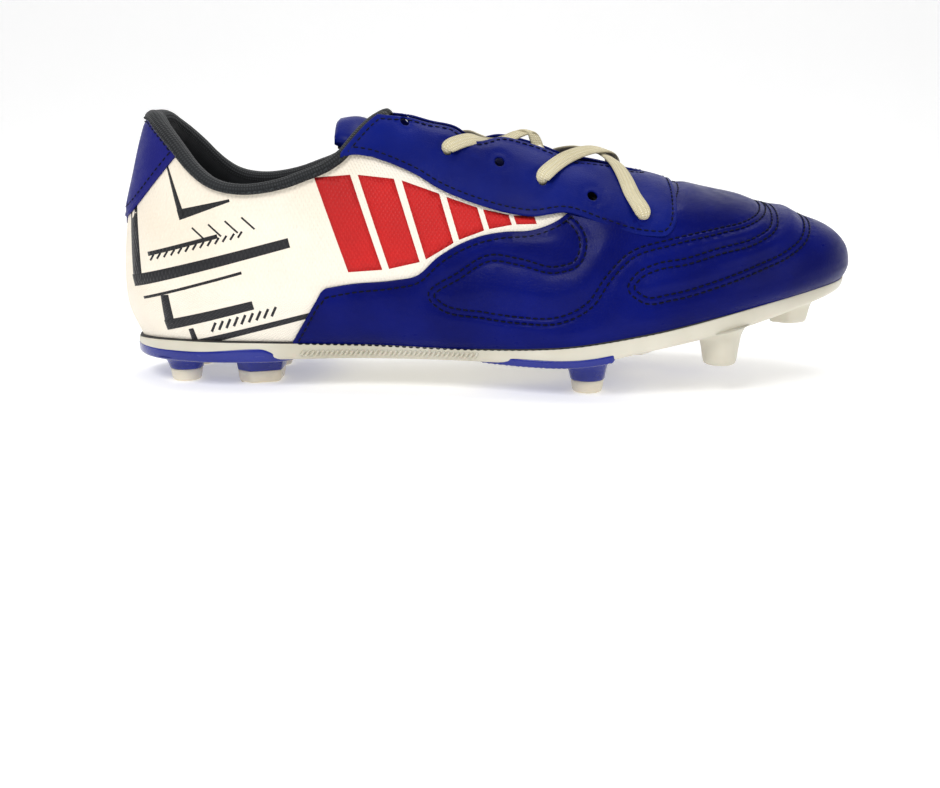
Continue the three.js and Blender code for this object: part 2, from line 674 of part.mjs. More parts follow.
piece('outsole_plate', outsolePlate(), SOLE_WHITE, 0.4);
piece('heel_stabiliser', heelStabiliser(), SOLE_BLUE, 0.25);
piece('forefoot_fork', forefootFork(), SOLE_BLUE, 0.25);
for (const [name, stud] of Object.entries(TIPPED_STUDS)) piece(name, tippedCap(stud), SOLE_WHITE, 0.35);
piece('insole_board', deck(BOARD_INSET, lifted(BOARD_BOTTOM), lifted(BOARD_TOP)), BOARD, 0.9);
piece('sockliner', deck(BOARD_INSET + 0.4, lifted(BOARD_TOP + GAP), lifted(SOCKLINER_TOP)), BLACK, 0.85);
piece('heel_counter', heelCounter(), BOARD, 0.8);
piece('toe_puff', toePuff(), BOARD, 0.8);
piece('vamp', vamp(), BLUE, 0.45);
piece('quarter_lateral', quarter(-1), WHITE, 0.6);
piece('quarter_medial', quarter(1), WHITE, 0.6);
piece('eyestay', eyestay(), BLUE, 0.45);
piece('eyelet_facing_lateral', eyeletFacing(-1), BLACK, 0.9);
piece('eyelet_facing_medial', eyeletFacing(1), BLACK, 0.9);
piece('heel_tab', heelTab(), BLUE, 0.5);
piece('collar_foam', collarFoam(), CREAM, 0.95);
piece('collar_binding', collarBinding(), BLACK, 0.8);
piece('quarter_lining', quarterLining(), BLACK, 0.9);
piece('vamp_lining', vampLining(), BLACK, 0.9);
piece('tongue_outer', tongueLayer(0, 1.1), BLUE, 0.5);
piece('tongue_foam', tongueLayer(1.5, 4.4), CREAM, 0.95);
piece('tongue_lining', tongueLayer(4.8, 5.7), BLACK, 0.9);

const route = laceRoute();
piece('lace', lace(route), CREAM, 0.9);
piece('aglet_lateral', aglet(route[0], route[1]), CREAM, 0.3);
piece('aglet_medial', aglet(route[route.length - 1], route[route.length - 2]), CREAM, 0.3);

// Centre the shoe over the origin of its own frame.
const box = new THREE.Box3().setFromObject(shoe);
const middle = box.getCenter(new THREE.Vector3());
shoe.position.set(-middle.x, -middle.y, -box.min.z);

export default shoe;
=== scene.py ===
import math

import bmesh
import bpy
import numpy as np
from mathutils.geometry import delaunay_2d_cdt
from mathutils.kdtree import KDTree
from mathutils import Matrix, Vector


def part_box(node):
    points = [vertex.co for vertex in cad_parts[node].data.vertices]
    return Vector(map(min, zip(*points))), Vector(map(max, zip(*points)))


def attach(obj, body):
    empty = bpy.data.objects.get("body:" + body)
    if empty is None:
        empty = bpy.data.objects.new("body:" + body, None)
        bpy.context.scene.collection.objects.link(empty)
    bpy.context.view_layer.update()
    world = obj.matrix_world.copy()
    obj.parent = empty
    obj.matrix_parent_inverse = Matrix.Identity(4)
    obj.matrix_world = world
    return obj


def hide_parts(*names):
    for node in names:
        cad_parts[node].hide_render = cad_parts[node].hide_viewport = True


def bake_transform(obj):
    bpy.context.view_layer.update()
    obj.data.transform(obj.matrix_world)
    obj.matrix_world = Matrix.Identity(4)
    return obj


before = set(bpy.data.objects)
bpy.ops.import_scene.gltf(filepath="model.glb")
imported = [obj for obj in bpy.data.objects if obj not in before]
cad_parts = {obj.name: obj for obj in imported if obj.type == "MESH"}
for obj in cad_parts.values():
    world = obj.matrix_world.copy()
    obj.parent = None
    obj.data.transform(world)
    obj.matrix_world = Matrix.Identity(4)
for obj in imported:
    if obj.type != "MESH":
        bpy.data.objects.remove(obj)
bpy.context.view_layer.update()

MM = 0.001
HEEL_X = -145.7
TOE_X = 144.8
MID_X = (HEEL_X + TOE_X) / 2
HALF_LENGTH = (TOE_X - HEEL_X) / 2
SIDE_SHARE = 0.3               # share of each side below the widest point
HEEL_STUD = (-120, -11.5)      # centre of the lateral heel stud in the shoe's own frame
low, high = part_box("heel_stud_tip_lateral")
middle = (low + high) / 2 / MM
SHIFT = np.array([middle.x - HEEL_STUD[0], middle.y - HEEL_STUD[1], 0.0])   # from there to the shared frame

BELOW = 0                      # height under every feather line, for outlines that run down to it
ABOVE = 200                    # height over every ridge, for outlines that run up to it
BEHIND = -200                  # position behind the heel
AHEAD = 200                    # position before the toe


# ---------------------------------------------------------------- lines and profiles
def hermite(places, values):
    """A smooth function through values at rising places."""
    t, v = np.asarray(places, float), np.asarray(values, float)
    step = np.diff(t)
    chord = np.diff(v) / step
    slope = np.concatenate([chord[:1], chord[-1:]]) if len(t) == 2 else np.concatenate([
        chord[:1], (chord[:-1] * step[1:] + chord[1:] * step[:-1]) / (step[1:] + step[:-1]), chord[-1:]])

    def value(x):
        x = np.asarray(x, float)
        i = np.clip(np.searchsorted(t, x) - 1, 0, len(t) - 2)
        h = step[i]
        u = (x - t[i]) / h
        w = 1 - u
        return ((1 + 2 * u) * w * w * v[i] + u * w * w * h * slope[i]
                + u * u * (3 - 2 * u) * v[i + 1] + u * u * (u - 1) * h * slope[i + 1])
    return value


def curve(points):
    return hermite(*zip(*points))


def station(x):
    """Angle along the shoe, 0 at the heel and pi at the toe."""
    return np.arccos(np.clip((MID_X - np.asarray(x, float)) / HALF_LENGTH, -1, 1))


def along(points):
    places, values = zip(*points)
    return hermite(station(places), values)


def lengths(points):
    """Distance of each point along its line."""
    return np.concatenate([[0], np.cumsum(np.linalg.norm(np.diff(points, axis=0), axis=1))])


def even(points, step):
    """The same line with evenly spaced points, about step apart."""
    points = np.asarray(points, float)
    run = lengths(points)
    count = max(int(round(run[-1] / step)), 1)
    at = np.linspace(0, run[-1], count + 1)
    return np.stack([np.interp(at, run, points[:, k]) for k in range(points.shape[1])], 1)


def smooth(points, step=1.0, closed=False):
    """A smooth line through the points."""
    points = np.asarray(points, float)
    if closed:
        points = np.concatenate([points[-3:], points, points[:4]])
    run = lengths(points)
    start, end = (run[3], run[-4]) if closed else (0, run[-1])
    at = np.linspace(start, end, max(int((end - start) / step), 1) + 1)
    line = np.stack([hermite(run, points[:, k])(at) for k in range(points.shape[1])], 1)
    return line[:-1] if closed else line


def smoothstep(x, start, end):
    u = np.clip((x - start) / (end - start), 0, 1)
    return u * u * (3 - 2 * u)


# ---------------------------------------------------------------- the reference surface of the upper
feather_height = along([[HEEL_X, 15.4], [-121, 17.8], [-50, 17.3], [0, 16.7], [32, 18.7], [65, 23.9],
                        [108, 33.7], [127, 37.6], [TOE_X, 40.5]])
sole_height = along([[HEEL_X, 10.6], [-129, 10.9], [-73, 11.8], [6, 12.5], [45, 13.7], [65, 17.9],
                     [99, 25.2], [128, 33], [TOE_X, 38]])
bulge_height = along([[HEEL_X, 42], [-100, 38], [-40, 33], [0, 31], [40, 31], [80, 38], [110, 43],
                      [TOE_X, 46]])
ridge_height = along([[HEEL_X, 140], [-90, 133], [-60, 120], [-32, 106], [0, 98.3], [29, 91], [58, 81.5],
                      [87, 74.2], [109, 69.8], [124, 65.8], [136, 59.9], [141.5, 55.4], [TOE_X, 47.5]])
centre_line = along([[HEEL_X, 4], [-100, 4], [-40, -1.5], [0, -3], [60, -1.5], [110, 0.5], [TOE_X, 2]])
feather_lateral = along([[HEEL_X, 4], [-128, -21], [-110, -27.5], [-82, -29], [-45, -28], [-18, -31.5],
                         [10, -39], [37, -46.2], [65, -46.8], [93, -42.5], [111, -35.5], [130, -23.5],
                         [TOE_X, 2]])
feather_medial = along([[HEEL_X, 4], [-128, 25.5], [-110, 35], [-91, 35.3], [-55, 27], [-27, 22],
                        [-8.6, 24], [19, 34.3], [46.7, 42.4], [74, 44.1], [102, 38], [120, 31.5],
                        [138, 15], [TOE_X, 2]])
bulge_lateral = along([[HEEL_X, 4], [-128, -24], [-105, -31.5], [-70, -34], [-30, -36], [0, -40],
                       [37, -47], [65, -47.8], [93, -44], [111, -37.2], [130, -25.5], [TOE_X, 2]])
bulge_medial = along([[HEEL_X, 4], [-128, 28.5], [-105, 36.5], [-70, 35], [-30, 31.5], [0, 33], [46, 44],
                      [74, 45.6], [102, 40.5], [120, 34], [138, 17], [TOE_X, 2]])
fullness = along([[HEEL_X, 0], [-40, 0], [10, -0.04], [60, 0.05], [100, 0.12], [TOE_X, 0.25]])
heel_lean = curve([[10, 8], [15.5, 6.2], [28, 1], [42, 0], [56, 1], [65.5, 2.4], [81, 6.4], [93.5, 9.7],
                   [104, 13], [140, 22]])
toe_lean = curve([[30, -9], [35, -5.2], [39.3, -1.6], [45.5, 0], [50, -0.2], [60, -1]])
topline_height = curve([[-150, 104.5], [-130, 104.5], [-125.7, 101.1], [-117.1, 92.5], [-112.8, 87.4],
                        [-104.8, 80.8], [-95.8, 78.2], [-84.3, 78.7], [-68.2, 83.5], [-54.7, 90.8],
                        [-49.1, 97.3], [-41.6, 104.2], [-37, 105.9], [-31, 106.4]])


def surface(angle, s):
    """Points for s from -1 at the lateral feather line over 0 at the ridge to 1 at the medial one."""
    angle, s = np.asarray(angle, float), np.asarray(s, float)
    medial = s > 0
    side = np.where(medial, 1.0, -1.0)
    rise = 1 - np.abs(s)
    centre = centre_line(angle)
    foot = side * (np.where(medial, feather_medial(angle), feather_lateral(angle)) - centre)
    wide = side * (np.where(medial, bulge_medial(angle), bulge_lateral(angle)) - centre)
    bottom, middle, round_ = feather_height(angle), bulge_height(angle), fullness(angle)
    share = np.minimum(rise / SIDE_SHARE, 1)
    turn = np.maximum(rise - SIDE_SHARE, 0) / (1 - SIDE_SHARE) * np.pi / 2
    flank = rise <= SIDE_SHARE
    half = np.where(flank, wide - (wide - foot) * (1 - share) ** 2,
                    wide * np.cos(turn) * (1 + round_ * np.sin(turn) ** 2))
    z = np.where(flank, bottom + (middle - bottom) * share,
                 middle + (ridge_height(angle) - middle) * np.sin(turn) * (1 + round_ * np.cos(turn) ** 2))
    lean = (heel_lean(z) * ((1 + np.cos(angle)) / 2) ** 3 + toe_lean(z) * ((1 - np.cos(angle)) / 2) ** 3)
    return np.stack([MID_X - HALF_LENGTH * np.cos(angle) + lean, centre + side * half, z], -1)


def unit(vectors):
    return vectors / np.maximum(np.linalg.norm(vectors, axis=-1, keepdims=True), 1e-9)


def normal(angle, s):
    step = 1e-3
    angle, s = np.asarray(angle, float), np.asarray(s, float)
    end = (angle < step) | (angle > np.pi - step)
    a = np.clip(angle, 2 * step, np.pi - 2 * step)
    b = np.where(s > 0, 1, -1) * np.clip(np.abs(s), 2 * step, 1 - 2 * step)
    out = np.cross(surface(a + step, b) - surface(a - step, b), surface(a, b + step) - surface(a, b - step))
    out[..., 1] = np.where(end, 0, out[..., 1])
    return unit(out)


ON_LINE = 1e-4                 # nearer than this, a point is on the heel, toe, ridge or feather line


def locate(points):
    """(angle, s) of the lateral surface points that have the given x and z."""
    x, z = np.asarray(points, float).reshape(-1, 2).T
    angle = station(x)
    for _ in range(12):
        under, over = np.zeros_like(x), np.ones_like(x)
        for _ in range(18):
            rise = (under + over) / 2
            below = surface(angle, rise - 1)[:, 2] < z
            under, over = np.where(below, rise, under), np.where(below, over, rise)
        miss = x - surface(angle, rise - 1)[:, 0]
        angle = np.clip(angle + miss / np.maximum(HALF_LENGTH * np.sin(angle), 12), 0, np.pi)
    s = rise - 1
    s = np.where(s < -1 + ON_LINE, -1, np.where(s > -ON_LINE, 0, s))
    return np.stack([angle, s], 1)


# Flat coordinates of the side of the shoe, in about its real size: length along it, and height over it.
ANGLES = np.linspace(0, np.pi, 400)
LENGTHWISE = lengths(surface(ANGLES, np.full(400, -0.5)))
HEIGHTWISE = 100.0


def flatten(domain):
    return np.stack([np.interp(domain[:, 0], ANGLES, LENGTHWISE), domain[:, 1] * HEIGHTWISE], 1)


def unflatten(flat):
    angle = np.interp(flat[:, 0], LENGTHWISE, ANGLES)
    s = np.clip(flat[:, 1] / HEIGHTWISE, -1, 0)
    return angle, s


# ---------------------------------------------------------------- meshes
def in_space(points):
    """Flat or solid points as lists of three coordinates."""
    space = np.zeros((len(points), 3))
    space[:, :points.shape[1]] = points
    return space.tolist()


def tree_of(points):
    tree = KDTree(len(points))
    for i, p in enumerate(in_space(points)):
        tree.insert(p, i)
    tree.balance()
    return tree


def nearest(points, targets):
    """Distance of each point to the nearest target."""
    tree = tree_of(targets)
    return np.array([tree.find(p)[2] for p in in_space(points)])


def inside(points, loop):
    """Whether each flat point is inside a closed loop."""
    result = np.zeros(len(points), bool)
    ax, ay = loop.T
    bx, by = np.roll(loop, -1, 0).T
    rise = np.where(by == ay, 1e-12, by - ay)
    for start in range(0, len(points), 4000):
        x, y = points[start:start + 4000, :1], points[start:start + 4000, 1:2]
        crosses = (ay > y) != (by > y)
        result[start:start + 4000] = (crosses & (x < ax + (y - ay) * (bx - ax) / rise)).sum(1) % 2 == 1
    return result


def closed_even(loop, step):
    """A closed loop with evenly spaced points, its first point not repeated."""
    return even(np.concatenate([loop, loop[:1]]), step)[:-1]


def inset(loop, distance):
    """A closed loop moved inward."""
    ahead, behind = np.roll(loop, -1, 0), np.roll(loop, 1, 0)
    tangent = unit(ahead - behind)
    area = np.sum(loop[:, 0] * ahead[:, 1] - loop[:, 1] * ahead[:, 0])
    return loop + math.copysign(distance, area * distance) * np.stack([-tangent[:, 1], tangent[:, 0]], 1)


def within(points, loops):
    """Whether each flat point is inside the first loop and outside the others."""
    return np.logical_and.reduce([inside(points, loops[0]), *[~inside(points, hole) for hole in loops[1:]]])


BORDER_STEP = 0.35             # spacing of the points that stand for a border when distances are measured
ROW_SHARE = 0.866              # distance of the rows of a grid of even triangles, as a share of their side


def fill(loops, spacing, insets=(), lines=()):
    """Flat points and triangles that fill the first loop outside the other loops."""
    edges, chain = [], []
    for loop in loops:
        start = sum(len(c) for c in chain)
        edges += [(start + i, start + (i + 1) % len(loop)) for i in range(len(loop))]
        chain.append(loop)
    border = np.concatenate([closed_even(loop, BORDER_STEP) for loop in loops])
    extra = []
    for distance in insets:
        for k, loop in enumerate(loops):
            ring = inset(loop, distance if k == 0 else -distance)
            extra.append(ring[nearest(ring, border) > 0.9 * distance])
    for line in lines:
        extra.append(line[nearest(line, border) > 0.6])
    placed = np.concatenate(chain + extra)
    lowest, highest = loops[0].min(0), loops[0].max(0)
    row = np.arange(lowest[0], highest[0], spacing)
    rows = np.arange(lowest[1], highest[1], spacing * ROW_SHARE)
    grid = np.array([(x + k % 2 * spacing / 2, y) for k, y in enumerate(rows) for x in row])
    grid = grid[nearest(grid, placed) > 0.62 * spacing]
    loose = np.concatenate([*extra, grid])
    points = np.concatenate([*chain, loose[within(loose, loops)]])
    made = delaunay_2d_cdt([tuple(p) for p in points.tolist()], edges, [], 0, 1e-6)
    flat = np.array([tuple(p) for p in made[0]])
    triangles = np.array([f for f in made[2] if len(f) == 3])
    a, b, c = (flat[triangles[:, k]] for k in range(3))
    area = (b - a)[:, 0] * (c - a)[:, 1] - (b - a)[:, 1] * (c - a)[:, 0]
    triangles[area < 0] = triangles[area < 0][:, ::-1]
    return flat, triangles[within((a + b + c) / 3, loops) & (np.abs(area) > 1e-7)]


def weld(points, faces):
    """Which points to keep when those in one place are joined, and the faces between the kept ones."""
    keys = np.round(points / 2e-3).astype(np.int64)
    _, first, place = np.unique(keys, axis=0, return_index=True, return_inverse=True)
    joined = place.reshape(-1)[faces]
    whole = (joined[:, 0] != joined[:, 1]) & (joined[:, 1] != joined[:, 2]) & (joined[:, 2] != joined[:, 0])
    return first, joined[whole]


def open_edges(faces):
    """Directed edges that only one face has."""
    directed = np.concatenate([np.stack([a, b], 1) for a, b in zip(faces.T, np.roll(faces, -1, 1).T)])
    size = int(faces.max()) + 1
    key = directed[:, 0] * size + directed[:, 1]
    back = directed[:, 1] * size + directed[:, 0]
    return directed[~np.isin(key, back)]


def sheet_faces(top, count):
    """Faces of a closed sheet: an upper layer, the same layer count points on, and the wall between."""
    rim = open_edges(top)
    wall = np.stack([rim[:, 1], rim[:, 0], rim[:, 0] + count, rim[:, 1] + count], 1)
    return [*top.tolist(), *(top[:, ::-1] + count).tolist(), *wall.tolist()]


def face_outward(mesh):
    edit = bmesh.new()
    edit.from_mesh(mesh)
    bmesh.ops.recalc_face_normals(edit, faces=edit.faces)
    edit.to_mesh(mesh)
    edit.free()


def build(name, points, faces, material, slot, body="shoe", in_cad=True, uv=None, blended=None):
    """A mesh object from points in millimetres in the shoe's own frame; in_cad may name its CAD node."""
    mesh = bpy.data.meshes.new(name)
    mesh.from_pydata(((np.asarray(points) + SHIFT) * MM).tolist(), [], [list(f) for f in faces])
    mesh.shade_smooth()
    if uv is not None:
        corner = np.zeros(len(mesh.loops), int)
        mesh.loops.foreach_get("vertex_index", corner)
        layer = mesh.uv_layers.new(name="surface")
        layer.data.foreach_set("uv", (np.asarray(uv)[corner] * 0.01).astype(np.float32).ravel())
    mesh.materials.append(material)
    mesh.validate()
    face_outward(mesh)
    piece = bpy.data.objects.new(name, mesh)
    bpy.context.scene.collection.objects.link(piece)
    if blended:
        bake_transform(piece)
    else:
        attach(piece, body)
    if in_cad:
        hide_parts(name if in_cad is True else in_cad)
    return piece


def grid_faces(columns, rows, closed=False):
    """Quads between columns + 1 lines of rows + 1 points, or of rows points where each line closes."""
    wide = rows if closed else rows + 1
    i, j = np.meshgrid(np.arange(columns), np.arange(rows), indexing="ij")
    a, b = i * wide + j, i * wide + (j + 1) % wide
    return np.stack([a, a + wide, b + wide, b], -1).reshape(-1, 4)


def tube_faces(rings, sides):
    """Faces of a closed tube: quads between its rings, and a cap at each end."""
    total = rings * sides
    return [*grid_faces(rings - 1, sides, closed=True).tolist(), list(range(sides)),
            list(range(total - 1, total - sides - 1, -1))]


def join(parts):
    """One body from several (points, faces)."""
    points, faces, start = [], [], 0
    for new_points, new_faces in parts:
        points.append(np.asarray(new_points))
        faces += [[i + start for i in face] for face in new_faces]
        start += len(new_points)
    return np.concatenate(points), faces


def circle(count):
    """Places on a unit circle."""
    turn = np.arange(count) * 2 * np.pi / count
    return np.stack([np.cos(turn), np.sin(turn)], 1)


# ---------------------------------------------------------------- pieces of the upper
def side_outline(*runs, step=1.3):
    """A closed flat loop through smooth runs of (x, z) points; straight lines join each run to the next."""
    parts = []
    for run, following in zip(runs, runs[1:] + runs[:1]):
        parts += [run] if len(run) > 1 else []
        parts += [[run[-1], following[0]]] if run[-1] != following[0] else []
    loop = np.concatenate([side_line(part, step)[:-1] for part in parts])
    gap = np.linalg.norm(loop - np.roll(loop, 1, 0), axis=1)
    return loop[gap > 0.1]


def side_line(points, step=0.8):
    """A flat line from (x, z) points."""
    return even(flatten(locate(smooth(points, 1.5))), step)


def on_side(flat, side):
    """Angles, shares, surface points and normals of flat coordinates on one side of the shoe."""
    angle, s = unflatten(flat)
    s = s * -side
    return angle, s, surface(angle, s), normal(angle, s)


def panel(name, loops, layer, material, slot, sides="both", relief=None, lines=(), spacing=1.7, roll=0.45):
    """One layer of the upper over an outline on the lateral side, on that side, the other or both."""
    flat, triangles = fill(loops, spacing, (0.4 * roll, roll, 2.2 * roll) if roll else (), lines)
    angle, s = unflatten(flat)
    angle = np.where(angle > np.pi - ON_LINE, np.pi, np.where(angle < ON_LINE, 0, angle))
    s = np.where(s > -ON_LINE, 0, s)
    if sides == "both":
        triangles = np.concatenate([triangles, triangles[:, ::-1] + len(angle)])
        angle, s = np.concatenate([angle, angle]), np.concatenate([s, -s])
    elif sides == "medial":
        s, triangles = -s, triangles[:, ::-1]
    base = surface(angle, s)
    keep, triangles = weld(base, triangles)
    base, angle, s = base[keep], angle[keep], s[keep]
    out = normal(angle, s)
    inner, outer = layer
    height = np.full(len(base), float(outer))
    if roll:
        rim = open_edges(triangles)
        border = np.concatenate([base[rim[:, 0]] * (1 - w) + base[rim[:, 1]] * w for w in (0, 0.33, 0.67)])
        edge = nearest(base, border)
        height -= roll * (1 - np.sqrt(1 - np.clip(1 - edge / roll, 0, 1) ** 2))
    else:
        edge = None
    if relief:
        height += relief(base, edge)
    points = np.concatenate([base + out * height[:, None], base + out * inner])
    uv = flatten(np.stack([angle, s], 1))
    return build(name, points, sheet_faces(triangles, len(base)), material, slot,
                 uv=np.concatenate([uv, uv]))


# One stitch: its place along the thread, thickness and height, as shares of its length and radius.
STITCH = np.array([[-0.5, 0.05, -1.2], [-0.46, 0.6, -0.6], [-0.34, 0.95, 0.3], [0, 1.05, 0.6],
                   [0.34, 0.95, 0.3], [0.46, 0.6, -0.6], [0.5, 0.05, -1.2]])
STITCH_SIDES = 6


def stitches(name, paths, material=None, slot="upper_blue", pitch=2.7, length=2.2, radius=0.3, slant=0.0):
    """Thread seen as short arched dashes along paths; each path is (points, normals)."""
    frames = []
    for points, normals in paths:
        run = lengths(points)
        at = np.arange(pitch / 2, run[-1], pitch)

        def between(values, ahead=0.0):
            return np.stack([np.interp(at + ahead, run, values[:, k]) for k in range(3)], 1)

        up = unit(between(normals))
        forward = unit(between(points, 0.4) - between(points, -0.4))
        forward = unit(forward * math.cos(slant) + np.cross(up, forward) * math.sin(slant))
        frames.append((between(points), forward, up))
    centre, forward, up = (np.concatenate(a)[:, None, None, :] for a in zip(*frames))
    place, wide, lift = (STITCH[:, k][None, :, None, None] for k in range(3))
    across, over = (circle(STITCH_SIDES)[None, None, :, k, None] for k in range(2))
    ring = radius * wide * (across * np.cross(up, forward) + over * up)
    points = centre + forward * place * length + up * lift * radius + ring
    one = grid_faces(len(STITCH) - 1, STITCH_SIDES, closed=True)
    faces = one[None] + (np.arange(len(centre)) * len(STITCH) * STITCH_SIDES)[:, None, None]
    return build(name, points.reshape(-1, 3), faces.reshape(-1, 4).tolist(), material or DARK_THREAD, slot,
                 in_cad=False)


def seam_path(flat, side, offset, aside=0.0):
    """A row of stitches along a flat line: its points, moved aside, and the surface's normals."""
    _, _, base, out = on_side(flat, side)
    forward = unit(np.gradient(base, axis=0))
    return base + np.cross(out, forward) * aside + out * offset, out


def both_sides(flat, offset, *asides):
    return [seam_path(flat, side, offset, aside * side) for side in (-1, 1) for aside in asides]


# ---------------------------------------------------------------- node materials
def linear(*srgb):
    return tuple(c / 255 / 12.92 if c <= 10 else ((c / 255 + 0.055) / 1.055) ** 2.4 for c in srgb) + (1.0,)


class Finish:
    """A material under construction: its node tree and a few shorthands."""

    def __init__(self, name, roughness, **sockets):
        self.material = bpy.data.materials.new(name)
        self.material.use_nodes = True
        self.tree = self.material.node_tree
        self.shader = self.tree.nodes["Principled BSDF"]
        self.shader.inputs["Roughness"].default_value = roughness
        for socket, value in sockets.items():
            self.shader.inputs[socket.replace("_", " ")].default_value = value
        self.coordinate = self.tree.nodes.new("ShaderNodeTexCoord").outputs["Object"]

    def node(self, kind, inputs=None, **settings):
        made = self.tree.nodes.new("ShaderNode" + kind)
        for key, value in settings.items():
            setattr(made, key, value)
        for key, value in (inputs or {}).items():
            if isinstance(value, bpy.types.NodeSocket):
                self.tree.links.new(value, made.inputs[key])
            else:
                made.inputs[key].default_value = value
        return made

    def surface_uv(self):
        self.coordinate = self.node("UVMap", uv_map="surface").outputs["UV"]
        return self

    def noise(self, scale, detail=3.0, stretch=(1, 1, 1)):
        mapped = self.node("Mapping", {"Vector": self.coordinate, "Scale": stretch}).outputs["Vector"]
        return self.node("TexNoise", {"Vector": mapped, "Scale": scale, "Detail": detail}).outputs["Fac"]

    def cells(self, scale, feature="DISTANCE_TO_EDGE"):
        return self.node("TexVoronoi", {"Vector": self.coordinate, "Scale": scale},
                         feature=feature).outputs["Distance"]

    def wave(self, scale, turn=0.0, distortion=0.0):
        mapped = self.node("Mapping", {"Vector": self.coordinate, "Rotation": (0, 0, math.radians(turn))})
        return self.node("TexWave", {"Vector": mapped.outputs["Vector"], "Scale": scale,
                                     "Distortion": distortion, "Detail": 1.0}).outputs["Fac"]

    def math(self, operation, a, b):
        return self.node("Math", {0: a, 1: b}, operation=operation).outputs[0]

    def spread(self, value, low_in, high_in, low_out, high_out):
        return self.node("MapRange", {"Value": value, "From Min": low_in, "From Max": high_in,
                                      "To Min": low_out, "To Max": high_out}).outputs["Result"]

    def blend(self, share, first, second):
        return self.node("Mix", {0: share, 6: first, 7: second}, data_type="RGBA").outputs[2]

    def color(self, value):
        self.tree.links.new(value, self.shader.inputs["Base Color"])
        return self

    def roughness(self, value):
        self.tree.links.new(value, self.shader.inputs["Roughness"])
        return self

    def bump(self, *layers):
        """Bump from (height, millimetres) layers, on top of each other."""
        under = None
        for height, depth in layers:
            inputs = {"Height": height, "Distance": depth * MM, "Strength": 1.0}
            if under:
                inputs["Normal"] = under
            under = self.node("Bump", inputs).outputs["Normal"]
        self.tree.links.new(under, self.shader.inputs["Normal"])
        return self


def leather(name, dark, light, roughness):
    """Smooth coated leather: faint mottling, fine pores and creases, and a soft coat."""
    f = Finish(name, roughness, Coat_Weight=0.04, Coat_Roughness=0.15, Specular_IOR_Level=0.07)
    clouds = f.noise(28, 5)
    pores = f.cells(900)
    creases = f.noise(160, 6, (1, 1, 2.5))
    tone = f.blend(f.spread(clouds, 0.35, 0.7, 0, 1), dark, light)
    worn = f.blend(f.spread(creases, 0.62, 0.8, 0, 0.35), tone, light)
    f.color(worn).roughness(f.spread(creases, 0.3, 0.75, roughness - 0.06, roughness + 0.12))
    f.bump((f.spread(pores, 0, 0.12, 0, 1), 0.03), (creases, 0.12), (clouds, 0.25))
    return f.material


def coated_weave(name, dark, light, roughness=0.55):
    """Coated cloth with a fine diagonal weave and a little soiling."""
    f = Finish(name, roughness, Sheen_Weight=0.1, Specular_IOR_Level=0.35)
    soil = f.noise(14, 6)
    f.surface_uv()
    warp, weft = f.wave(28, 38), f.wave(28, -52)
    knots = f.math("MULTIPLY", warp, weft)
    tone = f.blend(f.spread(soil, 0.4, 0.75, 0, 1), light, dark)
    f.color(f.blend(f.spread(knots, 0.0, 0.5, 0.22, 0), tone, dark))
    f.roughness(f.spread(knots, 0, 0.6, roughness + 0.12, roughness - 0.08))
    f.bump((knots, 0.16))
    return f.material


def knit(name, dark, light, scale=36, depth=0.3, roughness=0.85):
    """Knitted or woven cloth with visible loops."""
    f = Finish(name, roughness, Sheen_Weight=0.12, Sheen_Roughness=0.5, Specular_IOR_Level=0.25)
    shade = f.noise(40, 4)
    f.surface_uv()
    wales, courses = f.wave(scale, 0, 0.3), f.wave(scale * 0.8, 90, 0.3)
    loops = f.math("MULTIPLY", wales, courses)
    f.color(f.blend(f.spread(f.math("ADD", loops, f.math("MULTIPLY", shade, 0.6)), 0.1, 1.0, 0, 1),
                    dark, light))
    f.bump((loops, depth), (shade, 0.15))
    return f.material


def moulded(name, dark, light, roughness, coat=0.0, flow=0.0, specular=0.5):
    """Moulded plastic: slight mottling, fine scuffs and, where asked, a clear gloss."""
    f = Finish(name, roughness, Coat_Weight=coat, Coat_Roughness=0.08, Specular_IOR_Level=specular,
               Subsurface_Weight=flow, Subsurface_Scale=0.004)
    clouds = f.noise(22, 4)
    scuffs = f.noise(240, 5, (0.25, 1, 1))
    f.color(f.blend(f.spread(clouds, 0.35, 0.7, 0, 1), dark, light))
    f.roughness(f.spread(scuffs, 0.35, 0.75, roughness - 0.05, roughness + 0.16))
    f.bump((scuffs, 0.05), (clouds, 0.12))
    return f.material


def fibre_board(name, dark, light):
    f = Finish(name, 0.9)
    flecks = f.noise(420, 6)
    f.color(f.blend(f.spread(flecks, 0.35, 0.65, 0, 1), dark, light)).bump((flecks, 0.15))
    return f.material


def foam(name, dark, light):
    f = Finish(name, 0.95, Sheen_Weight=0.2)
    pores = f.cells(650, "F1")
    f.color(f.blend(f.spread(pores, 0.1, 0.7, 0, 1), light, dark)).bump((pores, -0.3))
    return f.material


def thread(name, dark, light):
    f = Finish(name, 0.6, Specular_IOR_Level=0.12)
    ply = f.noise(1500, 3)
    f.color(f.blend(f.spread(ply, 0.35, 0.65, 0, 1), dark, light)).bump((ply, 0.05))
    return f.material


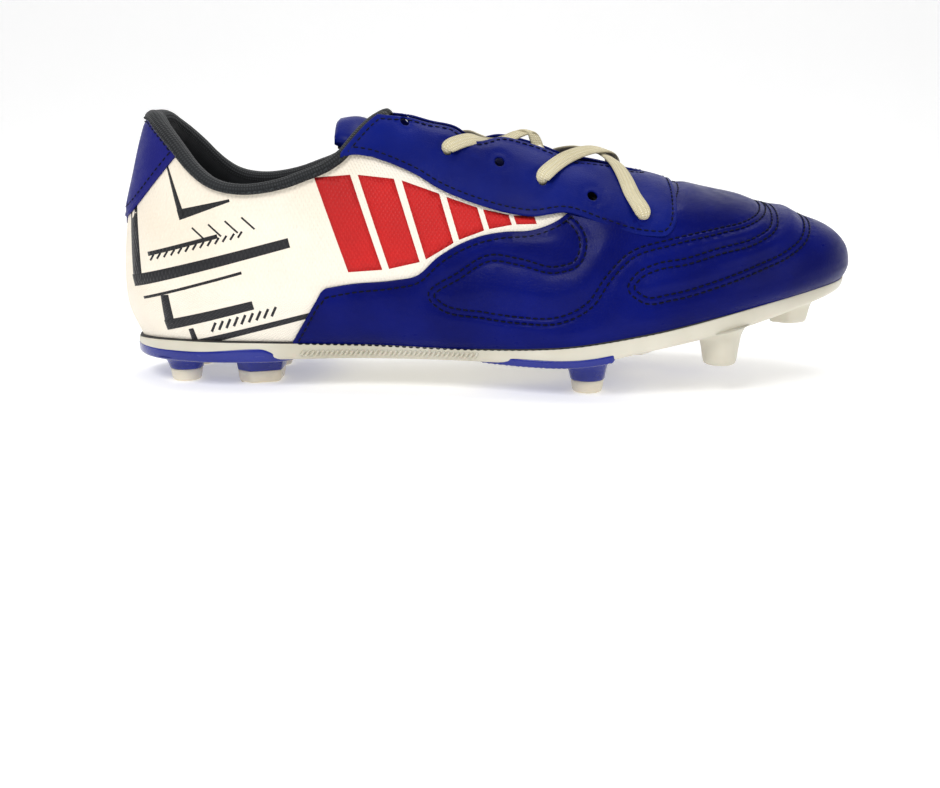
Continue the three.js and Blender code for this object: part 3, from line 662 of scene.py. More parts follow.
BLUE = leather("blue_leather", linear(2, 8, 84), linear(6, 18, 108), 0.33)
EYESTAY_BLUE = leather("eyestay_leather", linear(5, 16, 94), linear(12, 28, 118), 0.36)
TAB_BLUE = leather("heel_tab_leather", linear(22, 24, 100), linear(38, 40, 122), 0.45)
WHITE = coated_weave("white_coated_weave", linear(236, 222, 200), linear(253, 246, 232))
RED = coated_weave("red_print", linear(158, 6, 8), linear(206, 16, 14), 0.5)
BLACK_PRINT = coated_weave("black_print", linear(14, 14, 17), linear(40, 40, 44), 0.6)
LINING = knit("black_lining", linear(4, 5, 7), linear(20, 23, 27), 75, 0.1)
BINDING = knit("binding_tape", linear(11, 12, 14), linear(46, 49, 52), 30, 0.3, 0.7)
INSOLE = knit("sockliner_fabric", linear(12, 14, 18), linear(52, 56, 64), 30, 0.3)
LACE = knit("woven_lace", linear(190, 176, 132), linear(243, 235, 206), 44, 0.35, 0.8)
FOAM = foam("open_cell_foam", linear(170, 160, 120), linear(226, 218, 184))
BOARD = fibre_board("pressed_board", linear(128, 112, 84), linear(196, 178, 144))
SOLE_WHITE = moulded("sole_white", linear(196, 190, 170), linear(220, 215, 199), 0.34, 0.1, 0.05)
TIP_WHITE = moulded("stud_white", linear(226, 214, 186), linear(243, 236, 218), 0.3, 0.15, 0.05)
SOLE_BLUE = moulded("sole_blue", linear(2, 16, 108), linear(6, 30, 140), 0.18, 0.35, specular=0.35)
DARK_THREAD = thread("dark_thread", linear(3, 4, 16), linear(14, 16, 40))
GREY_THREAD = thread("grey_thread", linear(24, 26, 28), linear(66, 70, 72))
# Painted shade: a near-black band that stands for the shadow line between the upper and the plate.
SHADOW_LINE = moulded("painted_shadow_line", linear(10, 9, 12), linear(38, 35, 34), 0.6)
AGLET = moulded("aglet_film", linear(214, 202, 164), linear(238, 230, 204), 0.2, 0.5)


# ---------------------------------------------------------------- leather and cloth of the upper
# How far the inner and outer face of each layer stand out from the reference surface.
EYESTAY_LAYER = (1.3, 2.3)
VAMP_LAYER = (0.1, 1.1)
TAB_LAYER = (0.0, 1.2)
QUARTER_LAYER = (-1.2, -0.1)
FACING_LAYER = (-2.4, -1.4)
STIFFENER_LAYER = (-2.4, -1.5)
LINING_LAYER = (-3.6, -2.7)

EYELETS = [(-31.2, 101.1), (-14.4, 90.7), (5.5, 86.4), (21.8, 79.8), (40.4, 74.2), (59.1, 66.6)]
EYELET_HOLE = 1.9
TOPLINE = [(x, float(topline_height(x))) for x in (-130, -125.7, -121, -117.1, -112.8, -108.5, -104.8, -100,
                                                   -95.8, -90, -84.3, -76, -68.2, -61, -54.7, -49.1, -45,
                                                   -41.6, -37, -31)]
HEEL_TOP = (BEHIND, 104.5)


def topline(first, last):
    return [p for p in TOPLINE if first <= p[0] <= last]


# The quilting: an S over the side of the forefoot that runs on over the toe, and a long loop under it.
QUILTING = [
    [(30.9, 67.5), (33.8, 65.1), (36.7, 59.8), (34.7, 51.9), (26.6, 48.9), (13.2, 51.4), (1.9, 52.6),
     (-9.4, 46.1), (-20.1, 37.4), (-17, 34.6), (0.1, 31.2), (13.3, 29.8), (28.2, 30.4), (39.2, 36.3),
     (46, 46), (54, 54), (69.5, 58.8), (87.8, 62.3), (100.3, 64.6), (106.2, 66.8), (110.5, 69.6)],
    [(113.4, 68.8), (110.3, 62.8), (103.3, 59.1), (87.2, 55.4), (74.9, 52.1), (63.3, 50), (57.3, 47.1),
     (54.4, 42.8), (59.7, 38.3), (69.4, 39.3), (87.1, 43.9), (102.9, 49.1), (115, 53.5), (122.4, 58),
     (127.1, 64.7)],
]
ROW_GAP = 1.2                  # half the distance between the two rows of a quilting seam
HEM = 1.8                      # distance of a row of stitches from its edge
HEM_WIDTH = 0.7                # half-width of the dip that it makes
VAMP_EDGE = [(-60.6, 40.6), (-51.4, 42.2), (-34.5, 43.8), (-26.1, 45.5), (-17.7, 52.7), (-9.4, 57.6),
             (-1.1, 60.7), (7.2, 62.2), (18, 63), (27, 66.3), (33, 70.5)]
EYESTAY_EDGE = [(-42.9, 89.1), (-34.5, 86.1), (-26.1, 82.4), (-17.8, 77.6), (-9.4, 74), (-1.1, 71.2),
                (8, 68.8), (18, 67.5), (30.9, 68.8), (43.1, 65.1), (52, 62.3), (61.7, 60.6), (68.5, 61),
                (71.3, 64), (72.6, 70), (73.1, 76), (73.3, ABOVE)]
# Half-widths of the scalloped throat at positions along the shoe.
THROAT = [(-38, 12), (-31, 9.5), (-22, 9.5), (-12, 10), (-4.4, 14.5), (6, 9.5), (15, 9.5), (25, 12),
          (33, 15), (39, 13), (47, 9.5), (55, 8.2), (59.5, 4.6), (61, 0)]


def throat_run():
    """The lateral throat edge in (x, z), from its toe end to the topline."""
    run = []
    for x, half in reversed(THROAT):
        angle = station(x)
        top = ridge_height(angle)
        rise = math.sqrt(max(1 - (half / abs(float(bulge_lateral(angle) - centre_line(angle)))) ** 2, 0))
        middle = float(bulge_height(angle))
        run.append((x, middle + (float(top) - middle) * rise if half else ABOVE))
    return run


def eyelet_holes(radius):
    return [flatten(locate([place]))[0] + radius * circle(14) for place in EYELETS]


quilting = [side_line(line) for line in QUILTING]


def bell(distance, width):
    return np.exp(-(distance / width) ** 2)


def quilting_relief(base, edge):
    """Stitch rows pull the leather in, and it swells between them, most over the forefoot."""
    rows = [points for line in quilting for points, _ in both_sides(line, 0, -ROW_GAP, ROW_GAP)]
    away = nearest(base, np.concatenate(rows))
    swell = 1.3 * (1 - bell(away, 6)) * (0.35 + 0.65 * smoothstep(base[:, 0], -40, 20))
    return swell * smoothstep(edge, 0, 7) - 0.3 * bell(edge - HEM, HEM_WIDTH) - 0.7 * bell(away, 0.9)


def vamp():
    loop = side_outline([(-75.5, BELOW)], [(-75.5, 17.3)], [(-63.6, 37.3), (-62.4, 39.4), (-60.6, 40.6)],
                        VAMP_EDGE, [(33, 70.5), (45, 72), (60, 70), (66, ABOVE)],
                        [(AHEAD, ABOVE)], [(AHEAD, BELOW)])
    asides = (-ROW_GAP - 0.6, -ROW_GAP + 0.6, 0, ROW_GAP - 0.6, ROW_GAP + 0.6)
    rows = [flatten_row(line, aside) for line in quilting for aside in asides]
    panel("vamp", [loop], VAMP_LAYER, BLUE, "upper_blue", relief=quilting_relief, lines=rows)
    stitches("vamp_stitches", hem_paths(loop, VAMP_LAYER[1] + 0.2))
    stitches("quilting_stitches", [path for line in quilting
                                   for path in both_sides(line, 0.65, -ROW_GAP, ROW_GAP)])


def flatten_row(line, aside):
    """A flat line moved sideways."""
    tangent = unit(np.gradient(line, axis=0))
    return line + aside * np.stack([-tangent[:, 1], tangent[:, 0]], 1)


def quarter(side):
    """One white quarter; its upper front edge runs under the eyestay and its lower one under the vamp."""
    under_eyestay = [(-41.6, 104.2), (-33, 97), (-20, 87.5), (-6, 80), (10, 75.5), (24, 75.5), (36, 73),
                     (40, 68), (37, 62.5)]
    under_vamp = [(37, 62.5), (28, 58.5), (18, 56), (6, 55), (-4, 52), (-14, 46), (-24, 39), (-36, 37),
                  (-54, 35), (-66, 20), (-68, BELOW)]
    loop = side_outline([(-68, BELOW), (BEHIND, BELOW)], [HEEL_TOP], topline(-130, -41.6), under_eyestay,
                        under_vamp)
    panel("quarter_" + side, [loop], QUARTER_LAYER, WHITE, "upper_white", side, roll=0.3, spacing=2.2)


def eyestay():
    back = [(-54.9, 88.8), (-51.1, 89.9), (-42.9, 89.1)]
    loop = side_outline(back, EYESTAY_EDGE, throat_run(), topline(-54.7, -41.6)[::-1])
    panel("eyestay", [loop, *eyelet_holes(EYELET_HOLE)], EYESTAY_LAYER, EYESTAY_BLUE, "upper_blue",
          relief=hemmed, spacing=1.4)
    stitches("eyestay_stitches", hem_paths(loop, EYESTAY_LAYER[1]))


def hemmed(base, edge):
    """A panel that swells a little inside a sunken row of stitches."""
    return 0.25 * (1 - bell(edge, 3)) - 0.35 * bell(edge - HEM, HEM_WIDTH)


def hem_paths(loop, offset):
    """Rows of stitches just inside a loop, on both sides, away from the ridge, heel and toe lines."""
    ring = inset(loop, HEM)
    free = nearest(ring, closed_even(loop, BORDER_STEP)) > 0.93 * HEM
    free &= (ring[:, 1] < -2.5) & (ring[:, 1] > 1 - HEIGHTWISE) & (ring[:, 0] > HEM + 0.5)
    first = np.flatnonzero(~free)[0]
    pieces = np.split(np.roll(ring, -first, 0), np.flatnonzero(~np.roll(free, -first)))
    rows = [even(p[1:], 0.8) for p in pieces if len(p) > 6]
    return [path for row in rows for path in both_sides(row, offset - 0.15, 0)]


def heel_tab():
    loop = side_outline([(BEHIND, 66.5), (-139.6, 66.5), (-134, 72)], [(-134, 72), (-117.3, 90.5)],
                        topline(-130, -117.1)[::-1], [HEEL_TOP])
    panel("heel_tab", [loop], TAB_LAYER, TAB_BLUE, "upper_blue", spacing=1.5, relief=hemmed)
    stitches("heel_tab_stitches", hem_paths(loop, TAB_LAYER[1]))


LINING_END = 46                # where the rear lining stops and the front one starts


def linings():
    """The cloth inside, in two parts, the stiffeners between cloth and leather, and the eyelet facings."""
    low_top = [(x, z - 17) for x, z in topline(-130, -54.7)]
    under_throat = [(-36, 103), (-20, 95), (0, 89.5), (25, 81), (LINING_END, 77)]
    rear = side_outline([(LINING_END, BELOW), (BEHIND, BELOW)], [(BEHIND, 87.5)], low_top,
                        [low_top[-1], (-45, 99), (-36, 103)], under_throat)
    front = side_outline([(46.6, BELOW), (46.6, 76)], [(46.6, 76), (55, 74), (61, ABOVE)],
                         [(AHEAD, ABOVE)], [(AHEAD, BELOW)])
    counter = side_outline([(-76, BELOW)], [(BEHIND, BELOW)],
                           [(BEHIND, 70), (-136, 66), (-104, 44), (-80, 24), (-76, BELOW)])
    puff = side_outline([(104, BELOW), (105, 40), (108, ABOVE)], [(AHEAD, ABOVE)], [(AHEAD, BELOW)])
    for name, outline in (("quarter_lining", rear), ("vamp_lining", front)):
        panel(name, [outline], LINING_LAYER, LINING, "lining_black", spacing=3.2, roll=0)
    for name, outline in (("heel_counter", counter), ("toe_puff", puff)):
        panel(name, [outline], STIFFENER_LAYER, BOARD, "board", spacing=3.2, roll=0)
    facing = side_outline([(-44, 99), (-31, 92), (-14.4, 82), (5.5, 78), (30, 70), (45, 67)],
                          under_throat[::-1])
    for side in ("lateral", "medial"):
        panel("eyelet_facing_" + side, [facing, *eyelet_holes(EYELET_HOLE)[:-1]], FACING_LAYER, LINING,
              "lining_black", side, spacing=2.2, roll=0)


# ---------------------------------------------------------------- printed decoration, a generic design
FILM_ROOT = -0.3               # the film's lower face, hidden in the quarter


def bar(start, end, width, taper=1.0):
    """Corners of a straight printed bar in (x, z)."""
    a, b = np.array(start, float), np.array(end, float)
    ahead = unit(b - a)
    aside = np.array([-ahead[1], ahead[0]]) * width / 2
    return [tuple(a - aside), tuple(b - aside * taper), tuple(b + aside * taper), tuple(a + aside)]


def hatching(count, first, stroke, width, step, rise):
    """A row of short parallel strokes; each starts a step further on and a rise higher."""
    starts = [(first[0] + step * k, first[1] + rise * k) for k in range(count)]
    return [bar((x, z), (x + stroke[0], z + stroke[1]), width) for x, z in starts]


def printed(name, shapes, material, proud):
    """Thin printed film on the quarters, on both sides, all shapes in one mesh."""
    parts, uvs = [], []
    for corners in shapes:
        flat, triangles = fill([side_outline(*[[corner] for corner in corners], step=1.6)], 2.0)
        for side in (-1, 1):
            angle, s, base, out = on_side(flat, side)
            film = np.concatenate([base + out * proud, base + out * FILM_ROOT])
            parts.append((film, sheet_faces(triangles[:, ::-side], len(base))))
            uvs += [flatten(np.stack([angle, s], 1))] * 2
    build(name, *join(parts), material, "upper_white", in_cad=False, uv=np.concatenate(uvs))


def red_band():
    """A band of slanted bars that grow shorter and closer towards the toe."""
    lower = curve([(-62, 46.5), (-40, 47.5), (-24, 51), (-8, 60), (8, 64.6), (24, 65.5)])
    upper = curve([(-66, 82), (-48, 83), (-28, 80), (-10, 73.2), (8, 68.6), (24, 68)])
    lean = 0.35
    shapes = []
    start, length = -52.0, 13.0
    while start < 17:
        end = start + length
        tops = [x - lean * float(upper(x) - lower(x)) for x in (end, start)]
        shapes.append([*[(x, float(lower(x))) for x in (start, end)], *[(x, float(upper(x))) for x in tops]])
        start = end + 0.2 * length
        length *= 0.9
    printed("red_band", shapes, RED, -0.04)


def heel_print():
    """Nested angle bars with rows of short hatch strokes."""
    shapes = []
    for (x, z), rise, reach, width in (((-136.5, 41), 29, 62, 4.6), ((-123, 24.5), 12, 34, 4.2),
                                       ((-113, 17.5), 6, 46, 2.6)):
        shapes.append(bar((x, z), (x - 1.5, z + rise), width, 0.8))
        shapes.append(bar((x - width / 2, z - 0.4), (x + reach, z + 0.27 * reach), width, 0.8))
    shapes += [bar((-116, 67), (-122, 86), 2.4, 0.3), bar((-117.5, 67.6), (-97, 73.5), 4.0, 0.25),
               bar((-134, 34.5), (-93, 46.2), 1.1), bar((-131, 52), (-102, 60), 1.6)]
    shapes += hatching(13, (-130, 49.6), (1.6, 2.4), 0.8, 3, 0.828)
    shapes += hatching(4, (-112, 63), (5, -4.4), 0.7, 6.5, 1.4)
    shapes += hatching(9, (-106, 22.6), (1.8, 3.8), 1.0, 3, 0.84)
    printed("heel_print", shapes, BLACK_PRINT, -0.06)


# ---------------------------------------------------------------- collar
def collar_path():
    """Topline places from the lateral throat round the heel to the medial throat, and their frames."""
    half = even(flatten(locate(smooth([(-132.5, 104.5), *TOPLINE[:-1]], 1.0))), 1.6)
    angle, s = unflatten(half)
    angle[0] = 0
    angle = np.concatenate([angle[::-1], angle[1:]])
    s = np.concatenate([s[::-1], -s[1:]])
    base, out = surface(angle, s), normal(angle, s)
    forward = unit(np.gradient(base, axis=0))
    up = unit(np.cross(forward, out))
    up *= np.sign(up[:, 2:3])
    return angle, s, base, out, up


def along_surface(angle, s, direction, distance):
    """Places reached from (angle, s) by going a distance along the surface in a direction."""
    step = 1e-3
    middle = np.clip(angle, 2 * step, np.pi)
    lengthwise = (surface(middle + step, s) - surface(middle - step, s)) / (2 * step)
    across = (surface(middle, s + step) - surface(middle, s - step)) / (2 * step)
    by_angle = np.sum(direction * lengthwise, 1) / np.sum(lengthwise ** 2, 1)
    by_s = np.sum(direction * across, 1) / np.sum(across ** 2, 1)
    new_angle = angle[:, None] + by_angle[:, None] * distance
    new_s = s[:, None] + by_s[:, None] * distance
    crossed = new_angle < 0
    return np.abs(new_angle), np.where(crossed, -new_s, new_s)


def swept(name, section, material, slot, in_cad=True, wrinkles=0.0, ends=5.0):
    """A closed body along the topline; the section is (outward, upward) points, and its ends taper."""
    angle, s, base, _, up = collar_path()
    run = lengths(base)
    section = smooth(section, 0.9, closed=True)
    middle = section.mean(0)
    close = np.sqrt(np.clip(np.minimum(run, run[-1] - run) / ends, 0.06, 1))
    size = middle + (section[None] - middle) * close[:, None, None]
    phase = run[:, None] * 0.55 + 2 * np.sin(run[:, None] * 0.11)
    folds = wrinkles * np.maximum(np.sin(phase), 0) ** 3 * smoothstep(-size[..., 1], 0, 10)
    offset = size[..., 0] + folds
    low_angle, low_s = along_surface(angle, s, up, np.minimum(size[..., 1], 0))
    lift = up[:, None] * np.maximum(size[..., 1:2], 0)
    points = surface(low_angle, low_s) + normal(low_angle, low_s) * offset[..., None] + lift
    uv = np.stack(np.broadcast_arrays(run[:, None], lengths(section)[None]), -1)
    return build(name, points.reshape(-1, 3), tube_faces(len(base), len(section)), material, slot,
                 in_cad=in_cad, uv=uv.reshape(-1, 2))


def collar():
    tape = [(1.5, -2.4), (1.9, -1.4), (1.6, 0.2), (0.2, 1.5), (-2, 1.9), (-4, 1.6), (-5.4, 0.3),
            (-5.8, -1.6), (-5, -2), (-3, -1), (0.2, -1.4), (0.6, -2.4)]
    swept("collar_binding", tape, BINDING, "binding", ends=3.0)
    _, _, base, out, up = collar_path()
    seam = (base + out * 1.75 - up * 1.9)[5:-5]
    stitches("collar_stitches", [(seam, out[5:-5])], GREY_THREAD, "binding", 2.2, 1.7, slant=0.35)
    pad = [(-1.6, -1.4), (-3.5, -0.4), (-5.6, -1.2), (-7, -3.4), (-7.6, -8), (-7.2, -14), (-5.4, -19.5),
           (-3.8, -24), (-3, -24), (-2.6, -12)]
    padding = swept("collar_padding", pad, LINING, "lining_black", "collar_foam", wrinkles=0.7)


# ---------------------------------------------------------------- tongue
TONGUE_REAR, TONGUE_FRONT = -58, 66
tongue_top = curve([(-58, 103), (-50, 103.5), (-38, 99), (-20, 93.4), (0, 89.6), (20, 84.7), (40, 78.7),
                    (66, 70.2)])
tongue_half = curve([(-58, 17), (-30, 17), (0, 19), (30, 19), (66, 16)])
tongue_flat = curve([(-58, 38), (-40, 35), (0, 27), (66, 36)])
TONGUE_BLEND = [((np.array([x, 0, 69.0]) + SHIFT) * MM).tolist() for x in (TONGUE_FRONT, 48)]


def tongue_layer(name, upper, lower, margin, close, material, slot):
    """A layer between two depths; its edges stay a margin inside and close down or up by an amount."""
    columns, rows = 100, 40
    x = np.linspace(TONGUE_REAR + margin, TONGUE_FRONT, columns + 1)[:, None]
    share = np.linspace(-1, 1, rows + 1)[None]
    corner = 1 - 0.12 * np.clip((TONGUE_REAR + 9 - x) / 9, 0, 1) ** 2.5
    y = share * (tongue_half(x) * corner - margin)
    base = bulge_height(station(x))
    arch = np.sqrt(np.maximum(1 - (y / tongue_flat(x)) ** 2, 0.05))
    top = base + (tongue_top(x) - base) * arch
    edge = np.minimum((1 - np.abs(share)) * tongue_half(x), x - TONGUE_REAR - margin) / 2.2
    rim = 1 - np.sqrt(1 - np.clip(1 - edge, 0, 1) ** 2)
    pillow = 0.5 * np.cos(share * np.pi / 2) * smoothstep(x, -58, -45)
    bodies = [top + pillow - (upper + 1.2 * rim), top + pillow - (lower + close * rim)]
    centre = centre_line(station(x))
    sheets = [np.stack(np.broadcast_arrays(x, centre + y, z), -1).reshape(-1, 3) for z in bodies]
    faces = sheet_faces(grid_faces(columns, rows), (columns + 1) * (rows + 1))
    uv = np.stack(np.broadcast_arrays(x, y), -1).reshape(-1, 2)
    return build(name, np.concatenate(sheets), faces, material, slot, "tongue",
                 uv=np.concatenate([uv, uv]), blended=TONGUE_BLEND)


def tongue():
    tongue_layer("tongue_outer", 0.0, 1.3, 0.0, 2.6, EYESTAY_BLUE, "upper_blue")
    tongue_layer("tongue_foam", 1.4, 4.6, 2.4, -1.0, FOAM, "foam")
    tongue_layer("tongue_lining", 4.7, 5.7, 1.2, -1.6, LINING, "lining_black")


# ---------------------------------------------------------------- lace
LACE_OVER, LACE_UNDER = 3.4, -5.6
LACE_CROSSING = 1.8                     # lift of the strand that lies over the other
THROUGH = [(3.6, 0.75), (1, 0.5), (-2.2, 0.5), (-4.9, 0.75)]   # offsets in an eyelet, and widths there
LACE_WIDTH, LACE_THICK, LACE_BUNCHED = 6.4, 1.5, 3.4
LACE_GIRTH = 15                         # the way once round the flat lace
CORD_SIDES = 20
LACE_END = 20
LACE_DIP = -6                           # the last strands sink into the throat
LACE_BOW = 0.04                         # the first strands bend forward, as a turn about the toe


def lace_route():
    """Centre points of the lace with the width it has there, in the order of its length."""
    places = {(row, side): locate([EYELETS[row]])[0] * (1, -side) for row in range(6) for side in (-1, 1)}

    def at(place, distance):
        return place_points(np.array([place]), np.array([distance]))[0]

    def through(row, side, order):
        return [(*at(places[row, side], offset), width) for offset, width in THROUGH[::order]]

    def strand(first, last, distance, lift=0.0, bow=0.0):
        share = np.linspace(0.14, 0.86, 7)
        place = first + (last - first) * share[:, None]
        place[:, 0] += bow * np.sin(share * np.pi) ** 2
        points = place_points(place, distance + lift * np.sin(share * np.pi) ** 4)
        return [(*p, 1.0) for p in points]

    def half(side, lift):
        front, middle, rear = places[5, side], places[3, -side], places[1, -side]
        end = np.array([station(LACE_END), side * 0.05])
        return [*through(5, side, -1), *strand(front, middle, LACE_OVER, lift, LACE_BOW),
                *through(3, -side, 1), *strand(middle, rear, LACE_UNDER),
                *through(1, -side, -1), *strand(rear, end, LACE_OVER, LACE_DIP), (*at(end, -2.0), 1.0)]

    first_bar = strand(places[5, -1], places[5, 1], LACE_UNDER)
    return np.array([*half(-1, 0)[::-1], *first_bar, *half(1, LACE_CROSSING)])


def place_points(place, distance):
    angle, s = place.T
    return surface(angle, s) + normal(angle, s) * np.asarray(distance).reshape(-1, 1)


def surface_normals_at(points):
    """The upper's normals near points over or under its upper half."""
    angle = station(points[:, 0])
    across = points[:, 1] - centre_line(angle)
    wide = np.where(across > 0, bulge_medial(angle) - centre_line(angle),
                    centre_line(angle) - bulge_lateral(angle))
    turn = np.arccos(np.clip(np.abs(across) / wide, 0, 1))
    s = (1 - (SIDE_SHARE + turn * 2 / np.pi * (1 - SIDE_SHARE))) * np.where(across > 0, 1, -1)
    return normal(angle, s)


def lace():
    route = lace_route()
    line = smooth(np.column_stack([route[:, :3], route[:, 3] * 10]), 0.8)
    points, share = line[:, :3], np.clip(line[:, 3] / 10, 0.4, 1)
    forward = unit(np.gradient(points, axis=0))
    out = surface_normals_at(points)
    lengthwise = np.array([1.0, 0, 0]) - forward * forward[:, :1]
    flatwise = np.cross(out, forward)
    strength = np.linalg.norm(flatwise, axis=1, keepdims=True)
    flatwise *= np.sign(np.sum(flatwise * lengthwise, 1, keepdims=True) + 1e-9)
    across = unit(flatwise * strength + lengthwise * (1 - strength) ** 2)
    across = unit(even_out(across, 5))
    across = unit(across - forward * np.sum(across * forward, 1, keepdims=True))
    up = np.cross(forward, across)
    wide = LACE_BUNCHED + (LACE_WIDTH - LACE_BUNCHED) * smoothstep(share, 0.5, 0.95)
    thick = LACE_THICK * LACE_WIDTH / wide * 0.8
    section = np.sign(circle(CORD_SIDES)) * np.abs(circle(CORD_SIDES)) ** 0.75
    body = (points[:, None] + across[:, None] * (section[None, :, :1] * wide[:, None, None] / 2)
            + up[:, None] * (section[None, :, 1:] * thick[:, None, None] / 2))
    around = np.arange(CORD_SIDES) * LACE_GIRTH / CORD_SIDES
    uv = np.stack(np.broadcast_arrays(lengths(points)[:, None], around[None]), -1)
    faces = tube_faces(len(points), CORD_SIDES)
    build("lace", body.reshape(-1, 3), faces, LACE, "lace", uv=uv.reshape(-1, 2))
    for name, tip, before in (("aglet_lateral", 0, 6), ("aglet_medial", -1, -7)):
        aglet(name, points[tip], unit(points[tip] - points[before]))


def even_out(values, passes):
    for _ in range(passes):
        padded = np.concatenate([values[:1], values, values[-1:]])
        values = (padded[:-2] + padded[1:-1] + padded[2:]) / 3
    return values


def aglet(name, start, forward):
    """A crimped film sleeve over the end of the lace."""
    profile = [(-1.5, 0.2), (-1.5, 1.5), (0.5, 1.55), (1.2, 1.35), (2.5, 1.4), (8.5, 1.35), (10, 1.2),
               (10.8, 0.8), (11, 0.1)]
    side = unit(np.cross(forward, [0, 0, 1.0]))
    up = np.cross(side, forward)
    ring = circle(CORD_SIDES) @ np.stack([side, up])
    rings = np.concatenate([start + forward * at + ring * radius for at, radius in profile])
    build(name, rings, tube_faces(len(profile), CORD_SIDES), AGLET, "aglet")


# ---------------------------------------------------------------- sole
FOOT_ANGLES = np.linspace(0, np.pi, 500)
FOOT_X = np.maximum.accumulate(surface(FOOT_ANGLES, np.ones(500))[:, 0])
PLATE_PROUD, OVERLAY_PROUD = 1.9, 2.3      # how far the sole's edges stand out from the feather line
RING_DROP, FORK_DROP = 1.1, 1.0            # how far the overlays stand below the plate
CAP_HEIGHT = 5.0
STUD_HEIGHT = 14.0


def foot_station(points):
    return np.interp(points[:, 0], FOOT_X, FOOT_ANGLES)


def sole_at(points):
    return sole_height(foot_station(points))


def feather_at(points):
    return feather_height(foot_station(points))


def soften(loop, passes):
    """A closed loop with its corners rounded."""
    for _ in range(passes):
        loop = (np.roll(loop, 1, 0) + 2 * loop + np.roll(loop, -1, 0)) / 4
    return loop


def foot_outline(proud, step=1.0):
    """The sole's outline in plan, from the heel along the lateral side and back."""
    lateral = surface(FOOT_ANGLES, -np.ones(500))[:, :2]
    medial = surface(FOOT_ANGLES, np.ones(500))[::-1, :2]
    return closed_even(inset(closed_even(np.concatenate([lateral, medial[1:-1]]), 1.0), -proud), step)


def slab(loops, bottom, top, low_profile, high_profile, spacing=5.0, relief=None):
    """A closed body over plan loops; the profiles are (inset, height) points of its lower and upper edge."""
    points, faces = [], []

    def add(new_points, new_faces):
        start = sum(len(p) for p in points)
        points.append(new_points)
        faces.extend((np.asarray(new_faces) + start).tolist())

    def inner(distance):
        return [inset(loop, distance if k == 0 else -distance) for k, loop in enumerate(loops)]

    for height, (distance, rise), gap, order in ((bottom, low_profile[0], spacing, -1),
                                                 (top, high_profile[-1], 5.0, 1)):
        flat, triangles = fill(inner(distance), gap)
        z = height(flat) + rise
        if relief and order < 0:
            z = z + relief(flat)
        add(np.column_stack([flat, z]), triangles[:, ::order])
    levels = [(bottom, *p) for p in low_profile] + [(top, *p) for p in high_profile]
    for k in range(len(loops)):
        rings = []
        for height, distance, rise in levels:
            ring = inner(distance)[k]
            lift = relief(ring) if relief and height is bottom else 0
            rings.append(np.column_stack([ring, height(ring) + rise + lift]))
        quads = grid_faces(len(rings) - 1, len(loops[k]), closed=True)
        add(np.concatenate(rings), np.concatenate([quads[:, [0, 1, 2]], quads[:, [0, 2, 3]]]))
    points, faces = np.concatenate(points), np.array(faces)
    keep, faces = weld(points, faces)
    return points[keep], faces.tolist()


def rounded(radius, steps=4):
    """Profile of a rounded lower edge, from its flat face to its wall."""
    turn = np.linspace(0, np.pi / 2, steps + 1)
    return [(radius * (1 - math.sin(a)), radius * (1 - math.cos(a))) for a in turn]


def rounded_top(radius, steps=3):
    return [(inward, -drop) for inward, drop in reversed(rounded(radius, steps))]


def ring_top(flat):
    """The heel overlay's upper face: its wall grows to the front and then runs out to an edge."""
    wall = 3 + 1.2 * smoothstep(flat[:, 0], -115, -90)
    return sole_at(flat) + 0.3 + wall * (1 - smoothstep(flat[:, 0], -88, -75))


def ring_loop():
    """The heel overlay: the sole's heel, closed at the front by an arc."""
    centre, radius = np.array([-107.0, 5.0]), 45.0
    foot = foot_outline(OVERLAY_PROUD)
    kept = (np.linalg.norm(foot - centre, axis=1) < radius) | (foot[:, 0] < centre[0])
    first = np.flatnonzero(~kept)[-1] + 1
    foot = np.roll(foot, -first, 0)[np.roll(kept, -first)]
    start, end = (math.atan2(*(p - centre)[::-1]) for p in (foot[-1], foot[0]))
    turn = np.linspace(start, end, 60)[1:-1]
    arc = centre + radius * np.stack([np.cos(turn), np.sin(turn)], 1)
    return soften(closed_even(np.concatenate([foot, arc]), 1.0), 20)


WINDOW = [(-129, 6.5), (-121, 3.5), (-114.5, -4.5), (-106.8, -3), (-101, -6), (-92, -1.5), (-93, 4),
          (-89, 10), (-94, 15), (-102, 11.5), (-108, 15), (-118, 9), (-128, 9)]
FORK = [(-4.7, -31), (0.6, -37), (9.8, -42), (19, -46), (28.3, -49), (48.5, -51), (50.5, -43), (49, -33),
        (55.9, -22), (65, -15), (76, -9.5), (92.7, -4.5), (111, -1), (119, 2), (119, 5), (111, 8),
        (92.7, 10.5), (76, 13), (65, 16.5), (55.9, 25), (50, 32), (49.5, 41), (47, 49), (28.3, 44),
        (19, 40), (9.8, 35), (2.5, 27), (6, 18), (28.3, 20.5), (37.5, 17), (42.5, 12.5), (47.4, 2.5),
        (42.5, -6.5), (37.5, -10.5), (30.9, -19), (24, -23), (9.8, -24), (-2, -24.5)]


def fork_loop():
    """The Y-shaped overlay: two blades at the waist joined into one arm that points to the toe."""
    foot = foot_outline(OVERLAY_PROUD, 0.5)
    loop = soften(closed_even(np.array(FORK, float), 0.9), 14)
    outer = ~inside(loop, foot)
    tree = tree_of(foot)
    for i in np.flatnonzero(outer):
        loop[i] = foot[tree.find((*loop[i], 0))[1]]
    return closed_even(loop, 1.0)


def window_loop():
    return soften(closed_even(np.array(WINDOW[::-1], float), 0.8), 3)


RINGS_CENTRE = (-23, -1)
WAVES_CENTRE = (30, 0)


